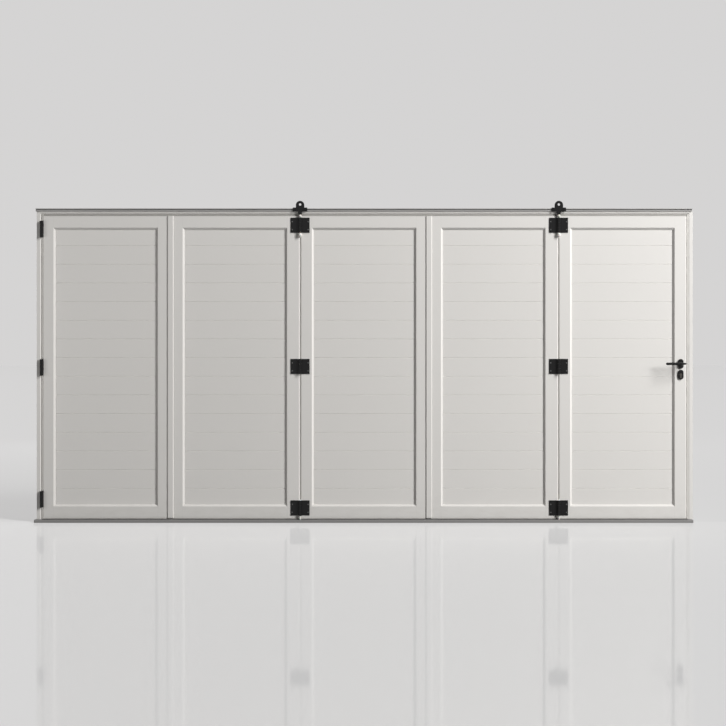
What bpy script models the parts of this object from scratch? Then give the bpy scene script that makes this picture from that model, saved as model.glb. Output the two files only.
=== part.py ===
"""A white five-leaf folding door in its own frame, with its rail, trolleys, hinges, handles and lock.

Metres, +Z up. The outside looks along -Y. x = 0 is the middle of the opening, y = 0 the middle of the
closed leaves' thickness and z = 0 the floor. Leaf 1 hangs on the left jamb, leaves 2 and 3 share the
first trolley, leaves 4 and 5 the second one, and leaf 5 also opens by itself as the pass door.
"""

import math

import bmesh
import bpy

# Leaves
LEAVES = (1, 2, 3, 4, 5)
LEAF_PITCH = 0.886  # from one hinge line to the next
LEAF_THICKNESS = 0.044
LEAF_HEIGHT = 2.0685
LEAF_LIFT = 0.010  # from the threshold's top to the leaf's lower edge
FOLD_GAP = 0.006  # between two neighbouring leaves
EDGE_CHAMFER = 0.0055  # on the two front corners of each leaf

# Stiles, rails and panels of a leaf
STILE_LEFT = 0.0765
STILE_RIGHT = 0.0865
RAIL_UPPER = 0.0795
RAIL_LOWER = 0.077
BEVEL_WIDTH = 0.0125  # the slope from the leaf's face to its panel
BEVEL_DEPTH = 0.011
LIP_DEPTH = 0.002  # the small square step between the slope and the panel
PANEL_HOLD = 0.010  # how far the panel goes into the stiles and rails
PANEL_CLEARANCE = 0.0004
BOARD_PITCH = 0.12828
BOARD_GROOVE_WIDTH = 0.0035
BOARD_GROOVE_DEPTH = 0.0025

# Jambs, head and threshold
JAMB_WIDTH = 0.032
JAMB_CHAMFER = 0.008
AXIS_TO_JAMB = 0.003  # from the outermost hinge line to the jamb's inner face
HANGING_GAP = 0.010  # between the left jamb and leaf 1
LOCK_GAP = 0.012  # between leaf 5 and the right jamb
HEAD_GAP = 0.0135  # between the leaves' tops and the head
HEAD_HEIGHT = 0.0185
STOP_GAP = 0.0015  # between a closed leaf and the rebate behind it
STOP_DEPTH = 0.025
STOP_LAP = 0.022  # how far the rebate reaches past the jamb's or head's inner face
THRESHOLD_HEIGHT = 0.020
THRESHOLD_FRONT = 0.040  # how far the threshold stands out in front of the jambs
THRESHOLD_SHIFT = -0.008  # the threshold lies a little to the left of the frame
THRESHOLD_CHAMFER = 0.003
CHANNEL_WIDTH = 0.015
CHANNEL_DEPTH = 0.012

# Running rail
RAIL_HEIGHT = 0.020
RAIL_DEPTH = 0.034
RAIL_WALL = 0.002
RAIL_SLOT = 0.0072
RAIL_SHIFT = -0.006  # the rail too lies a little to the left of the frame

# Hinges
KNUCKLE_RADIUS = 0.011
KNUCKLE_CLEARANCE = 0.0005  # between a knuckle and the leaf's face, and between two knuckles
PIN_RADIUS = 0.005
PIN_CLEARANCE = 0.0004
PLATE_THICKNESS = 0.0035
PLATE_START = 0.0092  # from the hinge line to the plate's near edge
FACE_HINGE_WIDTH = 0.129
FACE_HINGE_HEIGHT = 0.103
FACE_HINGE_DROP = 0.063  # from the leaf's top to the middle of the top hinge
FACE_HINGE_RISE = 0.0675  # from the leaf's lower edge to the middle of the bottom hinge
FACE_HINGE_MIDDLE = 1.0375  # from the leaf's lower edge to the middle of the middle hinge
SCREW_HEAD_RADIUS = 0.0045
SCREW_HEAD_HEIGHT = 0.0012
SCREW_EDGE = 0.010  # from the plate's far edge to its screws
SCREW_SPACING = 0.055
SCREW_DROP = 0.0035  # the screws sit this much below the plate's middle
REAR_HINGE_WIDTH = 0.098
REAR_HINGE_END = 0.015  # from the leaf's ends to the rear hinge's ends
REAR_HINGE_KNUCKLES = 7
BUTT_HINGE_HEIGHT = 0.110
BUTT_HINGE_DROP = 0.0895
BUTT_HINGE_RISE = 0.128
BUTT_HINGE_MIDDLE = 1.032
BUTT_PLATE_THICKNESS = 0.003
BUTT_PLATE_DEPTH = 0.036
BUTT_PLATE_GAP = 0.001  # from the knuckle to the plate's near edge

# Trolleys and guide pins
CARRIAGE_THICKNESS = 0.006
CARRIAGE_WIDTH = 0.098
CARRIAGE_HEIGHT = 0.026
CARRIAGE_LIFT = 0.0015  # from the rail's middle up to the middle of the carriage's arms
LUG_WIDTH = 0.058
LUG_HEIGHT = 0.046
LUG_HOLE_RADIUS = 0.0085
LUG_HOLE_DROP = 0.025  # from the lug's top to the hole's middle
STEM_WIDTH = 0.031
STEM_HEIGHT = 0.022
STEM_END_WIDTH = 0.020
ARM_TAPER = 0.001  # how much deeper the carriage's arms are at the stem than at their ends
ROLLER_SPACING = 0.064
ROLLER_LENGTH = 0.010
ROLLER_CLEARANCE = 0.0004
STUB_RADIUS = 0.003
HEAD_BALL_RADIUS = 0.0105
HEAD_BALL_GAP = 0.002  # from the top hinge up to the ball
HEAD_BALL_LATITUDES = (-60, 55)  # in degrees, where the ball starts and ends
DROP_BALL_RADIUS = 0.0128
DROP_BALL_HEIGHT = 0.030
DROP_BALL_LATITUDES = (-50, 60)
DROP_TIP_SHARE = 1 / 3  # the drop's flat tip, as a share of its radius
CAP_RADIUS = 0.008
CAP_HEIGHT = 0.006
CAP_SHOULDER = 0.3  # how far up the cap its side stays upright, as a share of its height
CAP_CROWN = 0.8  # the same for the rim of its flat top
GUIDE_PIN_ENTRY = 0.0105  # how far the guide pin reaches below the threshold's top

# Cover strips
STRIP_WIDTH = 0.041
STRIP_THICKNESS = 0.006
STRIP_CHAMFER = 0.004
STRIP_OFFSET = -0.003  # from the hinge line to the strip's middle

# Lock and handles
BACKSET = 0.040  # from the leaf's edge to the spindle
SPINDLE_HEIGHT = 1.085
SPINDLE_WIDTH = 0.008
SPINDLE_END = 0.0012  # how far the spindle stands out of the leaf's inside face
CYLINDER_DROP = 0.074  # from the spindle down to the key cylinder
LEVER_RADIUS = 0.009
LEVER_LENGTH = 0.118
LEVER_STANDOFF = 0.068  # from the leaf's face to the lever's middle
LEVER_BEND = 0.014
LEVER_TIP_DEGREES = (0, 35, 60, 80)  # where the domed tip has its rings
LEVER_GAP = 0.0015  # from the leaf's face to the lever's neck
NECK_CLEARANCE = 0.0005
ROSE_WIDTH = 0.037
ROSE_HEIGHT = 0.066
ROSE_THICKNESS = 0.008
BACKPLATE_WIDTH = 0.036
BACKPLATE_HEIGHT = 0.190
BACKPLATE_THICKNESS = 0.004
CASE_DEPTH = 0.060
CASE_HEIGHT = 0.170
CASE_THICKNESS = 0.014
CASE_CLEARANCE = 0.0005
LATCH_RISE = 0.020  # from the spindle up to the latch
LATCH_HEIGHT = 0.018
LATCH_THICKNESS = 0.010
LATCH_LENGTH = 0.035
LATCH_REACH = 0.010  # how far the latch stands out of the leaf's edge
LATCH_TRAVEL = 0.0095
DEAD_BOLT_DROP = 0.040  # from the spindle down to the dead bolt
DEAD_BOLT_HEIGHT = 0.022
DEAD_BOLT_THICKNESS = 0.010
DEAD_BOLT_LENGTH = 0.040
BOLT_CLEARANCE = 0.0005
CYLINDER_RADIUS = 0.0085
CYLINDER_WEB = 0.010
CYLINDER_HEIGHT = 0.033
CYLINDER_END = 0.004  # how far the key cylinder stands out of the backplate
THUMB_STEM_RADIUS = 0.005
THUMB_STEM_LENGTH = 0.006
THUMB_WIDTH = 0.008
THUMB_HEIGHT = 0.028
THUMB_LENGTH = 0.014
STRIKE_THICKNESS = 0.002
STRIKE_WIDTH = 0.024
STRIKE_HEIGHT = 0.130
STRIKE_HOLE_CLEARANCE = 0.0015
POCKET_DEPTH = 0.014

# General clearances and facets
TOUCH = 0.0003  # between two pieces that rest on each other
PAST = 0.004  # how far a cutter goes past the wall that it cuts
OVERLAP = 0.0005  # how far a joined shape stands back inside its neighbour
WELD = 0.00001
FLAT_ANGLE = math.radians(0.05)  # faces this nearly level with each other are made one
SMOOTH_ANGLE = math.radians(40)  # edges flatter than this are shaded smooth
KNUCKLE_SIDES = 16
BORE_SIDES = 12
PIN_STEPS = 12
SCREW_SIDES = 10
ARCH_STEPS = 12
CYLINDER_STEPS = 12
OVAL_POINTS = 20
BEND_STEPS = 4
TUBE_RESOLUTION = 4
HEAD_BALL_STEPS = 6
DROP_BALL_STEPS = 5
PIVOT_SIZE = 0.05  # shown size of the empties on the joints' axes

# Places worked out from the dimensions
FACE_FRONT = -LEAF_THICKNESS / 2
FACE_BACK = LEAF_THICKNESS / 2
AXIS_STANDOFF = LEAF_THICKNESS / 2 + KNUCKLE_RADIUS + KNUCKLE_CLEARANCE
AXIS_FRONT = -AXIS_STANDOFF
AXIS_BACK = AXIS_STANDOFF
LEAF_BOTTOM = THRESHOLD_HEIGHT + LEAF_LIFT
LEAF_TOP = LEAF_BOTTOM + LEAF_HEIGHT
OPENING_HALF = len(LEAVES) * LEAF_PITCH / 2 + AXIS_TO_JAMB
FRAME_HALF = OPENING_HALF + JAMB_WIDTH
STOP_FRONT = FACE_BACK + STOP_GAP
STOP_BACK = STOP_FRONT + STOP_DEPTH
HEAD_BOTTOM = LEAF_TOP + HEAD_GAP
HEAD_TOP = HEAD_BOTTOM + HEAD_HEIGHT
RAIL_BOTTOM = HEAD_TOP + TOUCH
CARRIAGE_BACK = AXIS_FRONT + CARRIAGE_THICKNESS / 2
RAIL_FRONT = CARRIAGE_BACK + KNUCKLE_CLEARANCE
ROLLER_LEVEL = RAIL_BOTTOM + RAIL_HEIGHT / 2
CARRIAGE_LEVEL = ROLLER_LEVEL + CARRIAGE_LIFT
STEM_BOTTOM = CARRIAGE_LEVEL - CARRIAGE_HEIGHT / 2 - STEM_HEIGHT
FACE_HINGE_LEVELS = {
    "top": LEAF_TOP - FACE_HINGE_DROP,
    "middle": LEAF_BOTTOM + FACE_HINGE_MIDDLE,
    "bottom": LEAF_BOTTOM + FACE_HINGE_RISE,
}
BUTT_HINGE_LEVELS = {
    "top": LEAF_TOP - BUTT_HINGE_DROP,
    "middle": LEAF_BOTTOM + BUTT_HINGE_MIDDLE,
    "bottom": LEAF_BOTTOM + BUTT_HINGE_RISE,
}
BORE_RADIUS = PIN_RADIUS + PIN_CLEARANCE
LOCK_EDGE = OPENING_HALF - LOCK_GAP
SPINDLE_X = LOCK_EDGE - BACKSET
LATCH_LEVEL = SPINDLE_HEIGHT + LATCH_RISE
DEAD_BOLT_LEVEL = SPINDLE_HEIGHT - DEAD_BOLT_DROP
CYLINDER_LEVEL = SPINDLE_HEIGHT - CYLINDER_DROP
BOLTS = {
    "latch": (LATCH_LEVEL, LATCH_HEIGHT, LATCH_THICKNESS),
    "dead_bolt": (DEAD_BOLT_LEVEL, DEAD_BOLT_HEIGHT, DEAD_BOLT_THICKNESS),
}

for thing in list(bpy.data.objects):
    bpy.data.objects.remove(thing, do_unlink=True)

PARTS = bpy.data.collections.new("folding_door")
CUTTERS = bpy.data.collections.new("cutters")
bpy.context.scene.collection.children.link(PARTS)
bpy.context.scene.collection.children.link(CUTTERS)


def paint(name, colour, roughness, metallic=0.0):
    made = bpy.data.materials.new(name)
    made.use_nodes = True
    surface = made.node_tree.nodes["Principled BSDF"]
    surface.inputs["Base Color"].default_value = (*colour, 1.0)
    surface.inputs["Roughness"].default_value = roughness
    surface.inputs["Metallic"].default_value = metallic
    return made


LEAF_PAINT = paint("leaf_paint", (0.80, 0.78, 0.74), 0.45)
PANEL_PAINT = paint("panel_paint", (0.79, 0.77, 0.73), 0.50)
FRAME_PAINT = paint("frame_paint", (0.80, 0.78, 0.75), 0.45)
BLACK_STEEL = paint("black_steel", (0.022, 0.022, 0.022), 0.42, 0.4)
GREY_METAL = paint("grey_metal", (0.17, 0.165, 0.16), 0.45, 0.7)
WHITE_NYLON = paint("white_nylon", (0.82, 0.81, 0.78), 0.35)
BRIGHT_STEEL = paint("bright_steel", (0.45, 0.45, 0.46), 0.30, 1.0)


def hinge_line(number):
    """The x of the line between leaf number and the next one. 0 and 5 are the two jamb sides."""
    return (number - len(LEAVES) / 2) * LEAF_PITCH


# Building blocks. Each takes its place in the world and its sizes, and gives an object.


def new_object(name, mesh, place, turn=(0.0, 0.0, 0.0)):
    made = bpy.data.objects.new(name, mesh)
    made.location = place
    made.rotation_euler = turn
    PARTS.objects.link(made)
    return made


def mesh_of(name, solid):
    mesh = bpy.data.meshes.new(name)
    solid.to_mesh(mesh)
    solid.free()
    return mesh


def box(name, x, y, z):
    """A box between two values on each axis."""
    solid = bmesh.new()
    bmesh.ops.create_cube(solid, size=1.0)
    bmesh.ops.scale(solid, vec=(x[1] - x[0], y[1] - y[0], z[1] - z[0]), verts=solid.verts)
    middle = [sum(side) / 2 for side in (x, y, z)]
    return new_object(name, mesh_of(name, solid), middle)


def rod(name, middle, radius, length, axis="Z", sides=KNUCKLE_SIDES):
    """A round bar along one axis."""
    solid = bmesh.new()
    bmesh.ops.create_cone(
        solid,
        cap_ends=True,
        segments=sides,
        radius1=radius,
        radius2=radius,
        depth=length,
    )
    turns = {"X": (0.0, math.pi / 2, 0.0), "Y": (math.pi / 2, 0.0, 0.0), "Z": (0.0, 0.0, 0.0)}
    made = new_object(name, mesh_of(name, solid), middle, turns[axis])
    round_shading(made)
    return made


def round_shading(made):
    made.data.shade_smooth()
    made.data.set_sharp_from_angle(angle=SMOOTH_ANGLE)


def solid_from_curve(guide):
    """The closed mesh of a curve, in the curve's own place."""
    bpy.context.view_layer.update()
    graph = bpy.context.evaluated_depsgraph_get()
    mesh = bpy.data.meshes.new_from_object(guide.evaluated_get(graph))
    solid = bmesh.new()
    solid.from_mesh(mesh)
    bmesh.ops.remove_doubles(solid, verts=solid.verts, dist=WELD)
    bmesh.ops.dissolve_limit(solid, angle_limit=FLAT_ANGLE, verts=solid.verts, edges=solid.edges)
    bmesh.ops.recalc_face_normals(solid, faces=solid.faces)
    solid.to_mesh(mesh)
    solid.free()
    made = bpy.data.objects.new(guide.name, mesh)
    made.matrix_world = guide.matrix_world
    name = guide.name
    PARTS.objects.link(made)
    bpy.data.objects.remove(guide, do_unlink=True)
    made.name = name
    return made


def flat_piece(name, outline, normal, middle, thickness):
    """An outline with a thickness along normal. Points are (x, y) for Z, (x, z) for Y, (y, z) for X."""
    curve = bpy.data.curves.new(name, "CURVE")
    curve.dimensions = "2D"
    curve.fill_mode = "BOTH"
    curve.extrude = thickness / 2
    line = curve.splines.new("POLY")
    line.points.add(len(outline) - 1)
    for point, (across, up) in zip(line.points, outline):
        point.co = (across, up, 0.0, 1.0)
    line.use_cyclic_u = True
    quarter = math.pi / 2
    turns = {"X": (quarter, 0.0, quarter), "Y": (quarter, 0.0, 0.0), "Z": (0.0, 0.0, 0.0)}
    return solid_from_curve(new_object(name, curve, middle, turns[normal]))


def tube(name, points, radii, radius, middle):
    """A bent round bar along points near middle. radii are shares of radius, one for each point."""
    curve = bpy.data.curves.new(name, "CURVE")
    curve.dimensions = "3D"
    curve.bevel_depth = radius
    curve.bevel_resolution = TUBE_RESOLUTION
    curve.use_fill_caps = True
    line = curve.splines.new("POLY")
    line.points.add(len(points) - 1)
    for point, place, share in zip(line.points, points, radii):
        point.co = (*place, 1.0)
        point.radius = share
    made = solid_from_curve(new_object(name, curve, middle))
    round_shading(made)
    return made


def turned(name, profile, middle):
    """A turned piece. Its profile is (radius, height) from the top down."""
    mesh = bpy.data.meshes.new(name)
    points = [(radius, 0.0, height) for radius, height in profile]
    edges = [(index, index + 1) for index in range(len(points) - 1)]
    mesh.from_pydata(points, edges, [])
    made = new_object(name, mesh, middle)
    screw = made.modifiers.new("turn", "SCREW")
    screw.steps = PIN_STEPS
    screw.render_steps = PIN_STEPS
    screw.use_merge_vertices = True
    screw.merge_threshold = WELD
    screw.use_smooth_shade = True
    return made


def shape_with(made, other, operation):
    """Adds other to made, or takes it away. Other then stays with made as a wire guide."""
    step = made.modifiers.new(other.name, "BOOLEAN")
    step.operation = operation
    step.object = other
    PARTS.objects.unlink(other)
    CUTTERS.objects.link(other)
    other.hide_render = True
    other.display_type = "WIRE"
    ride(other, made)


def cut(made, *cutters):
    for cutter in cutters:
        shape_with(made, cutter, "DIFFERENCE")


def join(made, *others):
    for other in others:
        shape_with(made, other, "UNION")


def pivot(name, place, parent=None):
    """An empty on a joint's axis, which carries the pieces that move about it."""
    made = bpy.data.objects.new(name, None)
    made.empty_display_size = PIVOT_SIZE
    made.location = place
    PARTS.objects.link(made)
    if parent:
        ride(made, parent)
    return made


def ride(child, parent):
    """Hangs child on parent and leaves it where it is."""
    bpy.context.view_layer.update()
    child.parent = parent
    child.matrix_parent_inverse = parent.matrix_world.inverted()


def finish(made, material, parent=None):
    made.data.materials.clear()
    made.data.materials.append(material)
    if parent:
        ride(made, parent)
    return made


# The joints' axes. Turning an empty by hand moves everything behind it, as the real door does.

FOLD = {}
FOLD[1] = pivot("axis_leaf_1", (hinge_line(0), AXIS_FRONT, 0.0))
FOLD[2] = pivot("axis_leaf_2", (hinge_line(1), AXIS_BACK, 0.0), FOLD[1])
FOLD[3] = pivot("axis_leaf_3", (hinge_line(2), AXIS_FRONT, 0.0), FOLD[2])
FOLD[4] = pivot("axis_leaf_4", (hinge_line(3), AXIS_BACK, 0.0), FOLD[3])
TROLLEY = {}
GUIDE = {}
for line in (2, 4):
    TROLLEY[line] = pivot(f"axis_trolley_{line}", (hinge_line(line), AXIS_FRONT, HEAD_TOP), FOLD[line])
    GUIDE[line] = pivot(f"axis_guide_pin_{line}", (hinge_line(line), AXIS_FRONT, 0.0), FOLD[line])
FOLD[5] = pivot("axis_leaf_5", (hinge_line(4), AXIS_FRONT, 0.0), TROLLEY[4])


# Fixed frame


def mitre(name, side, above, y):
    """A cutter beside the mitre between a jamb and the head, on its upper or its lower side."""
    lift = TOUCH if above else 0.0
    slope = HEAD_HEIGHT / JAMB_WIDTH
    reach = JAMB_WIDTH + STOP_LAP
    inner = (side * (OPENING_HALF - STOP_LAP), HEAD_BOTTOM - STOP_LAP * slope - lift)
    outer = (side * (OPENING_HALF + reach), HEAD_BOTTOM + reach * slope - lift)
    if above:
        corner = [(inner[0], outer[1] + PAST)]
    else:
        corner = [(outer[0], inner[1] - reach), (inner[0], inner[1] - reach)]
    middle = (0.0, sum(y) / 2, 0.0)
    return flat_piece(name, [inner, outer] + corner, "Y", middle, y[1] - y[0])


def make_jamb(side, name):
    """A jamb with its front chamfer and, behind the leaves, its rebate."""
    bottom = THRESHOLD_HEIGHT + TOUCH
    outline = [
        (side * (OPENING_HALF + JAMB_CHAMFER), FACE_FRONT),
        (side * FRAME_HALF, FACE_FRONT),
        (side * FRAME_HALF, STOP_BACK),
        (side * (OPENING_HALF - STOP_LAP), STOP_BACK),
        (side * (OPENING_HALF - STOP_LAP), STOP_FRONT),
        (side * OPENING_HALF, STOP_FRONT),
        (side * OPENING_HALF, FACE_FRONT + JAMB_CHAMFER),
    ]
    middle = (0.0, 0.0, (bottom + HEAD_TOP) / 2)
    jamb = flat_piece(name, outline, "Z", middle, HEAD_TOP - bottom)
    cut(jamb, mitre(f"{name}_mitre", side, True, (FACE_FRONT - PAST, STOP_FRONT)))
    return finish(jamb, FRAME_PAINT)


def make_head():
    """The head: mitred to the jambs at the front, and between their rebates at the back."""
    chamfer_height = JAMB_CHAMFER * HEAD_HEIGHT / JAMB_WIDTH
    outline = [
        (FACE_FRONT, HEAD_BOTTOM + chamfer_height),
        (FACE_FRONT, HEAD_TOP),
        (STOP_BACK, HEAD_TOP),
        (STOP_BACK, HEAD_BOTTOM - STOP_LAP),
        (STOP_FRONT, HEAD_BOTTOM - STOP_LAP),
        (STOP_FRONT, HEAD_BOTTOM),
        (FACE_FRONT + JAMB_CHAMFER, HEAD_BOTTOM),
    ]
    head = flat_piece("head", outline, "X", (0.0, 0.0, 0.0), 2 * FRAME_HALF)
    back = STOP_FRONT - TOUCH
    for side, label in ((-1, "left"), (1, "right")):
        inner = side * (OPENING_HALF - STOP_LAP - TOUCH)
        outer = side * (FRAME_HALF + PAST)
        cut(
            head,
            mitre(f"head_mitre_{label}", side, False, (FACE_FRONT - PAST, back + PAST)),
            box(
                f"head_end_{label}",
                sorted((inner, outer)),
                (back, STOP_BACK + PAST),
                (HEAD_BOTTOM - STOP_LAP - PAST, HEAD_TOP + PAST),
            ),
        )
    return finish(head, FRAME_PAINT)


def make_running_rail():
    """A C-shaped rail on top of the head, open to the front along its slot."""
    front = RAIL_FRONT
    back = RAIL_FRONT + RAIL_DEPTH
    low = RAIL_BOTTOM
    high = RAIL_BOTTOM + RAIL_HEIGHT
    slot_low = ROLLER_LEVEL - RAIL_SLOT / 2
    slot_high = ROLLER_LEVEL + RAIL_SLOT / 2
    outline = [
        (front, slot_low),
        (front, low),
        (back, low),
        (back, high),
        (front, high),
        (front, slot_high),
        (front + RAIL_WALL, slot_high),
        (front + RAIL_WALL, high - RAIL_WALL),
        (back - RAIL_WALL, high - RAIL_WALL),
        (back - RAIL_WALL, low + RAIL_WALL),
        (front + RAIL_WALL, low + RAIL_WALL),
        (front + RAIL_WALL, slot_low),
    ]
    rail = flat_piece("running_rail", outline, "X", (RAIL_SHIFT, 0.0, 0.0), 2 * FRAME_HALF)
    return finish(rail, GREY_METAL)


def make_threshold():
    """The threshold with the channel that the guide pins run in."""
    front = FACE_FRONT - THRESHOLD_FRONT
    floor = THRESHOLD_HEIGHT - CHANNEL_DEPTH
    outline = [
        (front, 0.0),
        (STOP_BACK, 0.0),
        (STOP_BACK, THRESHOLD_HEIGHT),
        (AXIS_FRONT + CHANNEL_WIDTH / 2, THRESHOLD_HEIGHT),
        (AXIS_FRONT + CHANNEL_WIDTH / 2, floor),
        (AXIS_FRONT - CHANNEL_WIDTH / 2, floor),
        (AXIS_FRONT - CHANNEL_WIDTH / 2, THRESHOLD_HEIGHT),
        (front + THRESHOLD_CHAMFER, THRESHOLD_HEIGHT),
        (front, THRESHOLD_HEIGHT - THRESHOLD_CHAMFER),
    ]
    middle = (THRESHOLD_SHIFT, 0.0, 0.0)
    return finish(flat_piece("threshold", outline, "X", middle, 2 * FRAME_HALF), GREY_METAL)


def bolt_hole(name, bolt, x, clearance):
    """A cutter for the latch or the dead bolt, between two values of x."""
    level, height, thickness = BOLTS[bolt]
    width = grown((0.0, 0.0), thickness / 2 + clearance)
    return box(f"{name}_{bolt}_hole", x, width, grown((level, level), height / 2 + clearance))


def make_strike_plate(jamb):
    """The strike plate, let into the right jamb, with pockets for both bolts behind it."""
    level = (LATCH_LEVEL + DEAD_BOLT_LEVEL) / 2
    front = OPENING_HALF + TOUCH
    back = front + STRIKE_THICKNESS
    half_width = STRIKE_WIDTH / 2
    half_height = STRIKE_HEIGHT / 2
    plate = box(
        "strike_plate",
        (front, back),
        (-half_width, half_width),
        (level - half_height, level + half_height),
    )
    for bolt in BOLTS:
        cut(plate, bolt_hole("strike", bolt, (front - PAST, back + PAST), STRIKE_HOLE_CLEARANCE))
    seat = box(
        "strike_seat",
        (OPENING_HALF - PAST, back + TOUCH),
        (-half_width - TOUCH, half_width + TOUCH),
        (level - half_height - TOUCH, level + half_height + TOUCH),
    )
    cut(jamb, seat)
    pockets = (OPENING_HALF - PAST, OPENING_HALF + POCKET_DEPTH)
    for bolt in BOLTS:
        cut(jamb, bolt_hole("pocket", bolt, pockets, STRIKE_HOLE_CLEARANCE))
    return finish(plate, BRIGHT_STEEL)


# Leaves


def leaf_sides(number):
    """The x of the leaf's left and right edges."""
    left = hinge_line(number - 1) + FOLD_GAP / 2
    right = hinge_line(number) - FOLD_GAP / 2
    if number == LEAVES[0]:
        left = HANGING_GAP - OPENING_HALF
    if number == LEAVES[-1]:
        right = LOCK_EDGE
    return left, right


def recess_sides(number):
    """The recess on the leaf's face, as (left, right) and (bottom, top)."""
    left = hinge_line(number - 1) + FOLD_GAP / 2 + STILE_LEFT
    right = hinge_line(number) - FOLD_GAP / 2 - STILE_RIGHT
    return (left, right), (LEAF_BOTTOM + RAIL_LOWER, LEAF_TOP - RAIL_UPPER)


def grown(sides, amount):
    return (sides[0] - amount, sides[1] + amount)


def leaf_opening(name, x, z):
    """A cutter for a leaf's opening: sloping sides on both faces, square lips and the panel's groove."""
    slope = BEVEL_WIDTH / BEVEL_DEPTH
    half = LEAF_THICKNESS / 2
    half_panel = panel_thickness() / 2 + PANEL_CLEARANCE
    hold = PANEL_HOLD + PANEL_CLEARANCE
    front_sections = [
        (half + PAST, PAST * slope),
        (half - BEVEL_DEPTH, -BEVEL_WIDTH),
        (half_panel, -BEVEL_WIDTH),
        (half_panel, hold - BEVEL_WIDTH),
    ]
    back_sections = [(-away, growth) for away, growth in reversed(front_sections)]
    solid = bmesh.new()
    loops = []
    for away, growth in front_sections + back_sections:
        (left, right), (low, high) = grown(x, growth), grown(z, growth)
        corners = ((left, low), (right, low), (right, high), (left, high))
        loops.append([solid.verts.new((across, -away, up)) for across, up in corners])
    for loop, following in zip(loops, loops[1:]):
        for index in range(4):
            beside = (index + 1) % 4
            solid.faces.new((loop[index], loop[beside], following[beside], following[index]))
    solid.faces.new(loops[0])
    solid.faces.new(loops[-1])
    bmesh.ops.recalc_face_normals(solid, faces=solid.faces)
    return new_object(name, mesh_of(name, solid), (0.0, 0.0, 0.0))


def make_leaf_frame(number):
    """The two stiles and two rails of a leaf, sloping in to the panel on both faces."""
    name = f"leaf_{number}_frame"
    left, right = leaf_sides(number)
    half = (right - left) / 2
    outline = [
        (-half + EDGE_CHAMFER, FACE_FRONT),
        (half - EDGE_CHAMFER, FACE_FRONT),
        (half, FACE_FRONT + EDGE_CHAMFER),
        (half, FACE_BACK),
        (-half, FACE_BACK),
        (-half, FACE_FRONT + EDGE_CHAMFER),
    ]
    middle = ((left + right) / 2, 0.0, (LEAF_BOTTOM + LEAF_TOP) / 2)
    frame = flat_piece(name, outline, "Z", middle, LEAF_HEIGHT)
    cut(frame, leaf_opening(f"{name}_opening", *recess_sides(number)))
    return finish(frame, LEAF_PAINT, FOLD[number])


def panel_thickness():
    return LEAF_THICKNESS - 2 * (BEVEL_DEPTH + LIP_DEPTH)


def make_leaf_panel(number):
    """The infill of a leaf: level boards shown by V grooves on both faces."""
    x, z = recess_sides(number)
    wide = grown(grown(x, -BEVEL_WIDTH), PANEL_HOLD)
    tall = grown(grown(z, -BEVEL_WIDTH), PANEL_HOLD)
    height = tall[1] - tall[0]
    half = panel_thickness() / 2
    count = int(height / BOARD_PITCH)
    notches = []
    for index in range(count):
        level = (index - (count - 1) / 2) * BOARD_PITCH
        notches += [
            (half, level - BOARD_GROOVE_WIDTH / 2),
            (half - BOARD_GROOVE_DEPTH, level),
            (half, level + BOARD_GROOVE_WIDTH / 2),
        ]
    back_side = [(half, -height / 2), *notches, (half, height / 2)]
    front_side = [(-across, up) for across, up in reversed(back_side)]
    middle = (sum(wide) / 2, 0.0, sum(tall) / 2)
    name = f"leaf_{number}_panel"
    panel = flat_piece(name, back_side + front_side, "X", middle, wide[1] - wide[0])
    return finish(panel, PANEL_PAINT, FOLD[number])


def make_cover_strip(number):
    """The strip on leaf number's left edge that hides the joint with the leaf before it."""
    half = STRIP_WIDTH / 2
    back = FACE_FRONT - TOUCH
    front = back - STRIP_THICKNESS
    outline = [
        (-half, back),
        (half, back),
        (half, front + STRIP_CHAMFER),
        (half - STRIP_CHAMFER, front),
        (-half + STRIP_CHAMFER, front),
        (-half, front + STRIP_CHAMFER),
    ]
    middle = (hinge_line(number - 1) + STRIP_OFFSET, 0.0, (LEAF_BOTTOM + LEAF_TOP) / 2)
    strip = flat_piece(f"cover_strip_{number}", outline, "Z", middle, LEAF_HEIGHT)
    return finish(strip, FRAME_PAINT, FOLD[number])


# Hinges


def knuckle_spans(low, high, count):
    """The levels of a hinge's knuckles from the bottom up."""
    step = (high - low + KNUCKLE_CLEARANCE) / count
    length = step - KNUCKLE_CLEARANCE
    return [(low + index * step, low + index * step + length) for index in range(count)]


def comb(near, far, low, high, reach, spans):
    """A plate's outline with a tab out to reach at each of its own knuckles."""
    outline = [(far, low), (far, high), (near, high)]
    for span in reversed(spans):
        tab = grown(span, -OVERLAP)
        outline += [(near, tab[1]), (reach, tab[1]), (reach, tab[0]), (near, tab[0])]
    return outline + [(near, low)]


def add_knuckles(half, axis, spans, pin=None):
    """Rolls the half's knuckles round the axis. It either holds the pin or has a bore for it."""
    for index, span in enumerate(spans):
        middle = (*axis, sum(span) / 2)
        join(half, rod(f"{half.name}_knuckle_{index}", middle, KNUCKLE_RADIUS, span[1] - span[0]))
    if pin:
        middle = (*axis, sum(pin) / 2)
        join(half, rod(f"{half.name}_pin", middle, PIN_RADIUS, pin[1] - pin[0], sides=BORE_SIDES))
    else:
        length = spans[-1][1] - spans[0][0] + 2 * PAST
        middle = (*axis, (spans[0][0] + spans[-1][1]) / 2)
        cut(half, rod(f"{half.name}_bore", middle, BORE_RADIUS, length, sides=BORE_SIDES))


def face_half(name, side, facing, line, low, high, spans, width, pin=None):
    """One half of a hinge whose plates lie on the leaves' faces. facing is -1 outside and 1 inside."""
    plate_y = facing * (LEAF_THICKNESS / 2 + TOUCH + PLATE_THICKNESS / 2)
    outline = comb(side * PLATE_START, side * width / 2, low, high, side * OVERLAP, spans)
    half = flat_piece(name, outline, "Y", (hinge_line(line), plate_y, 0.0), PLATE_THICKNESS)
    add_knuckles(half, (hinge_line(line), facing * AXIS_STANDOFF), spans, pin)
    return half


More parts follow.
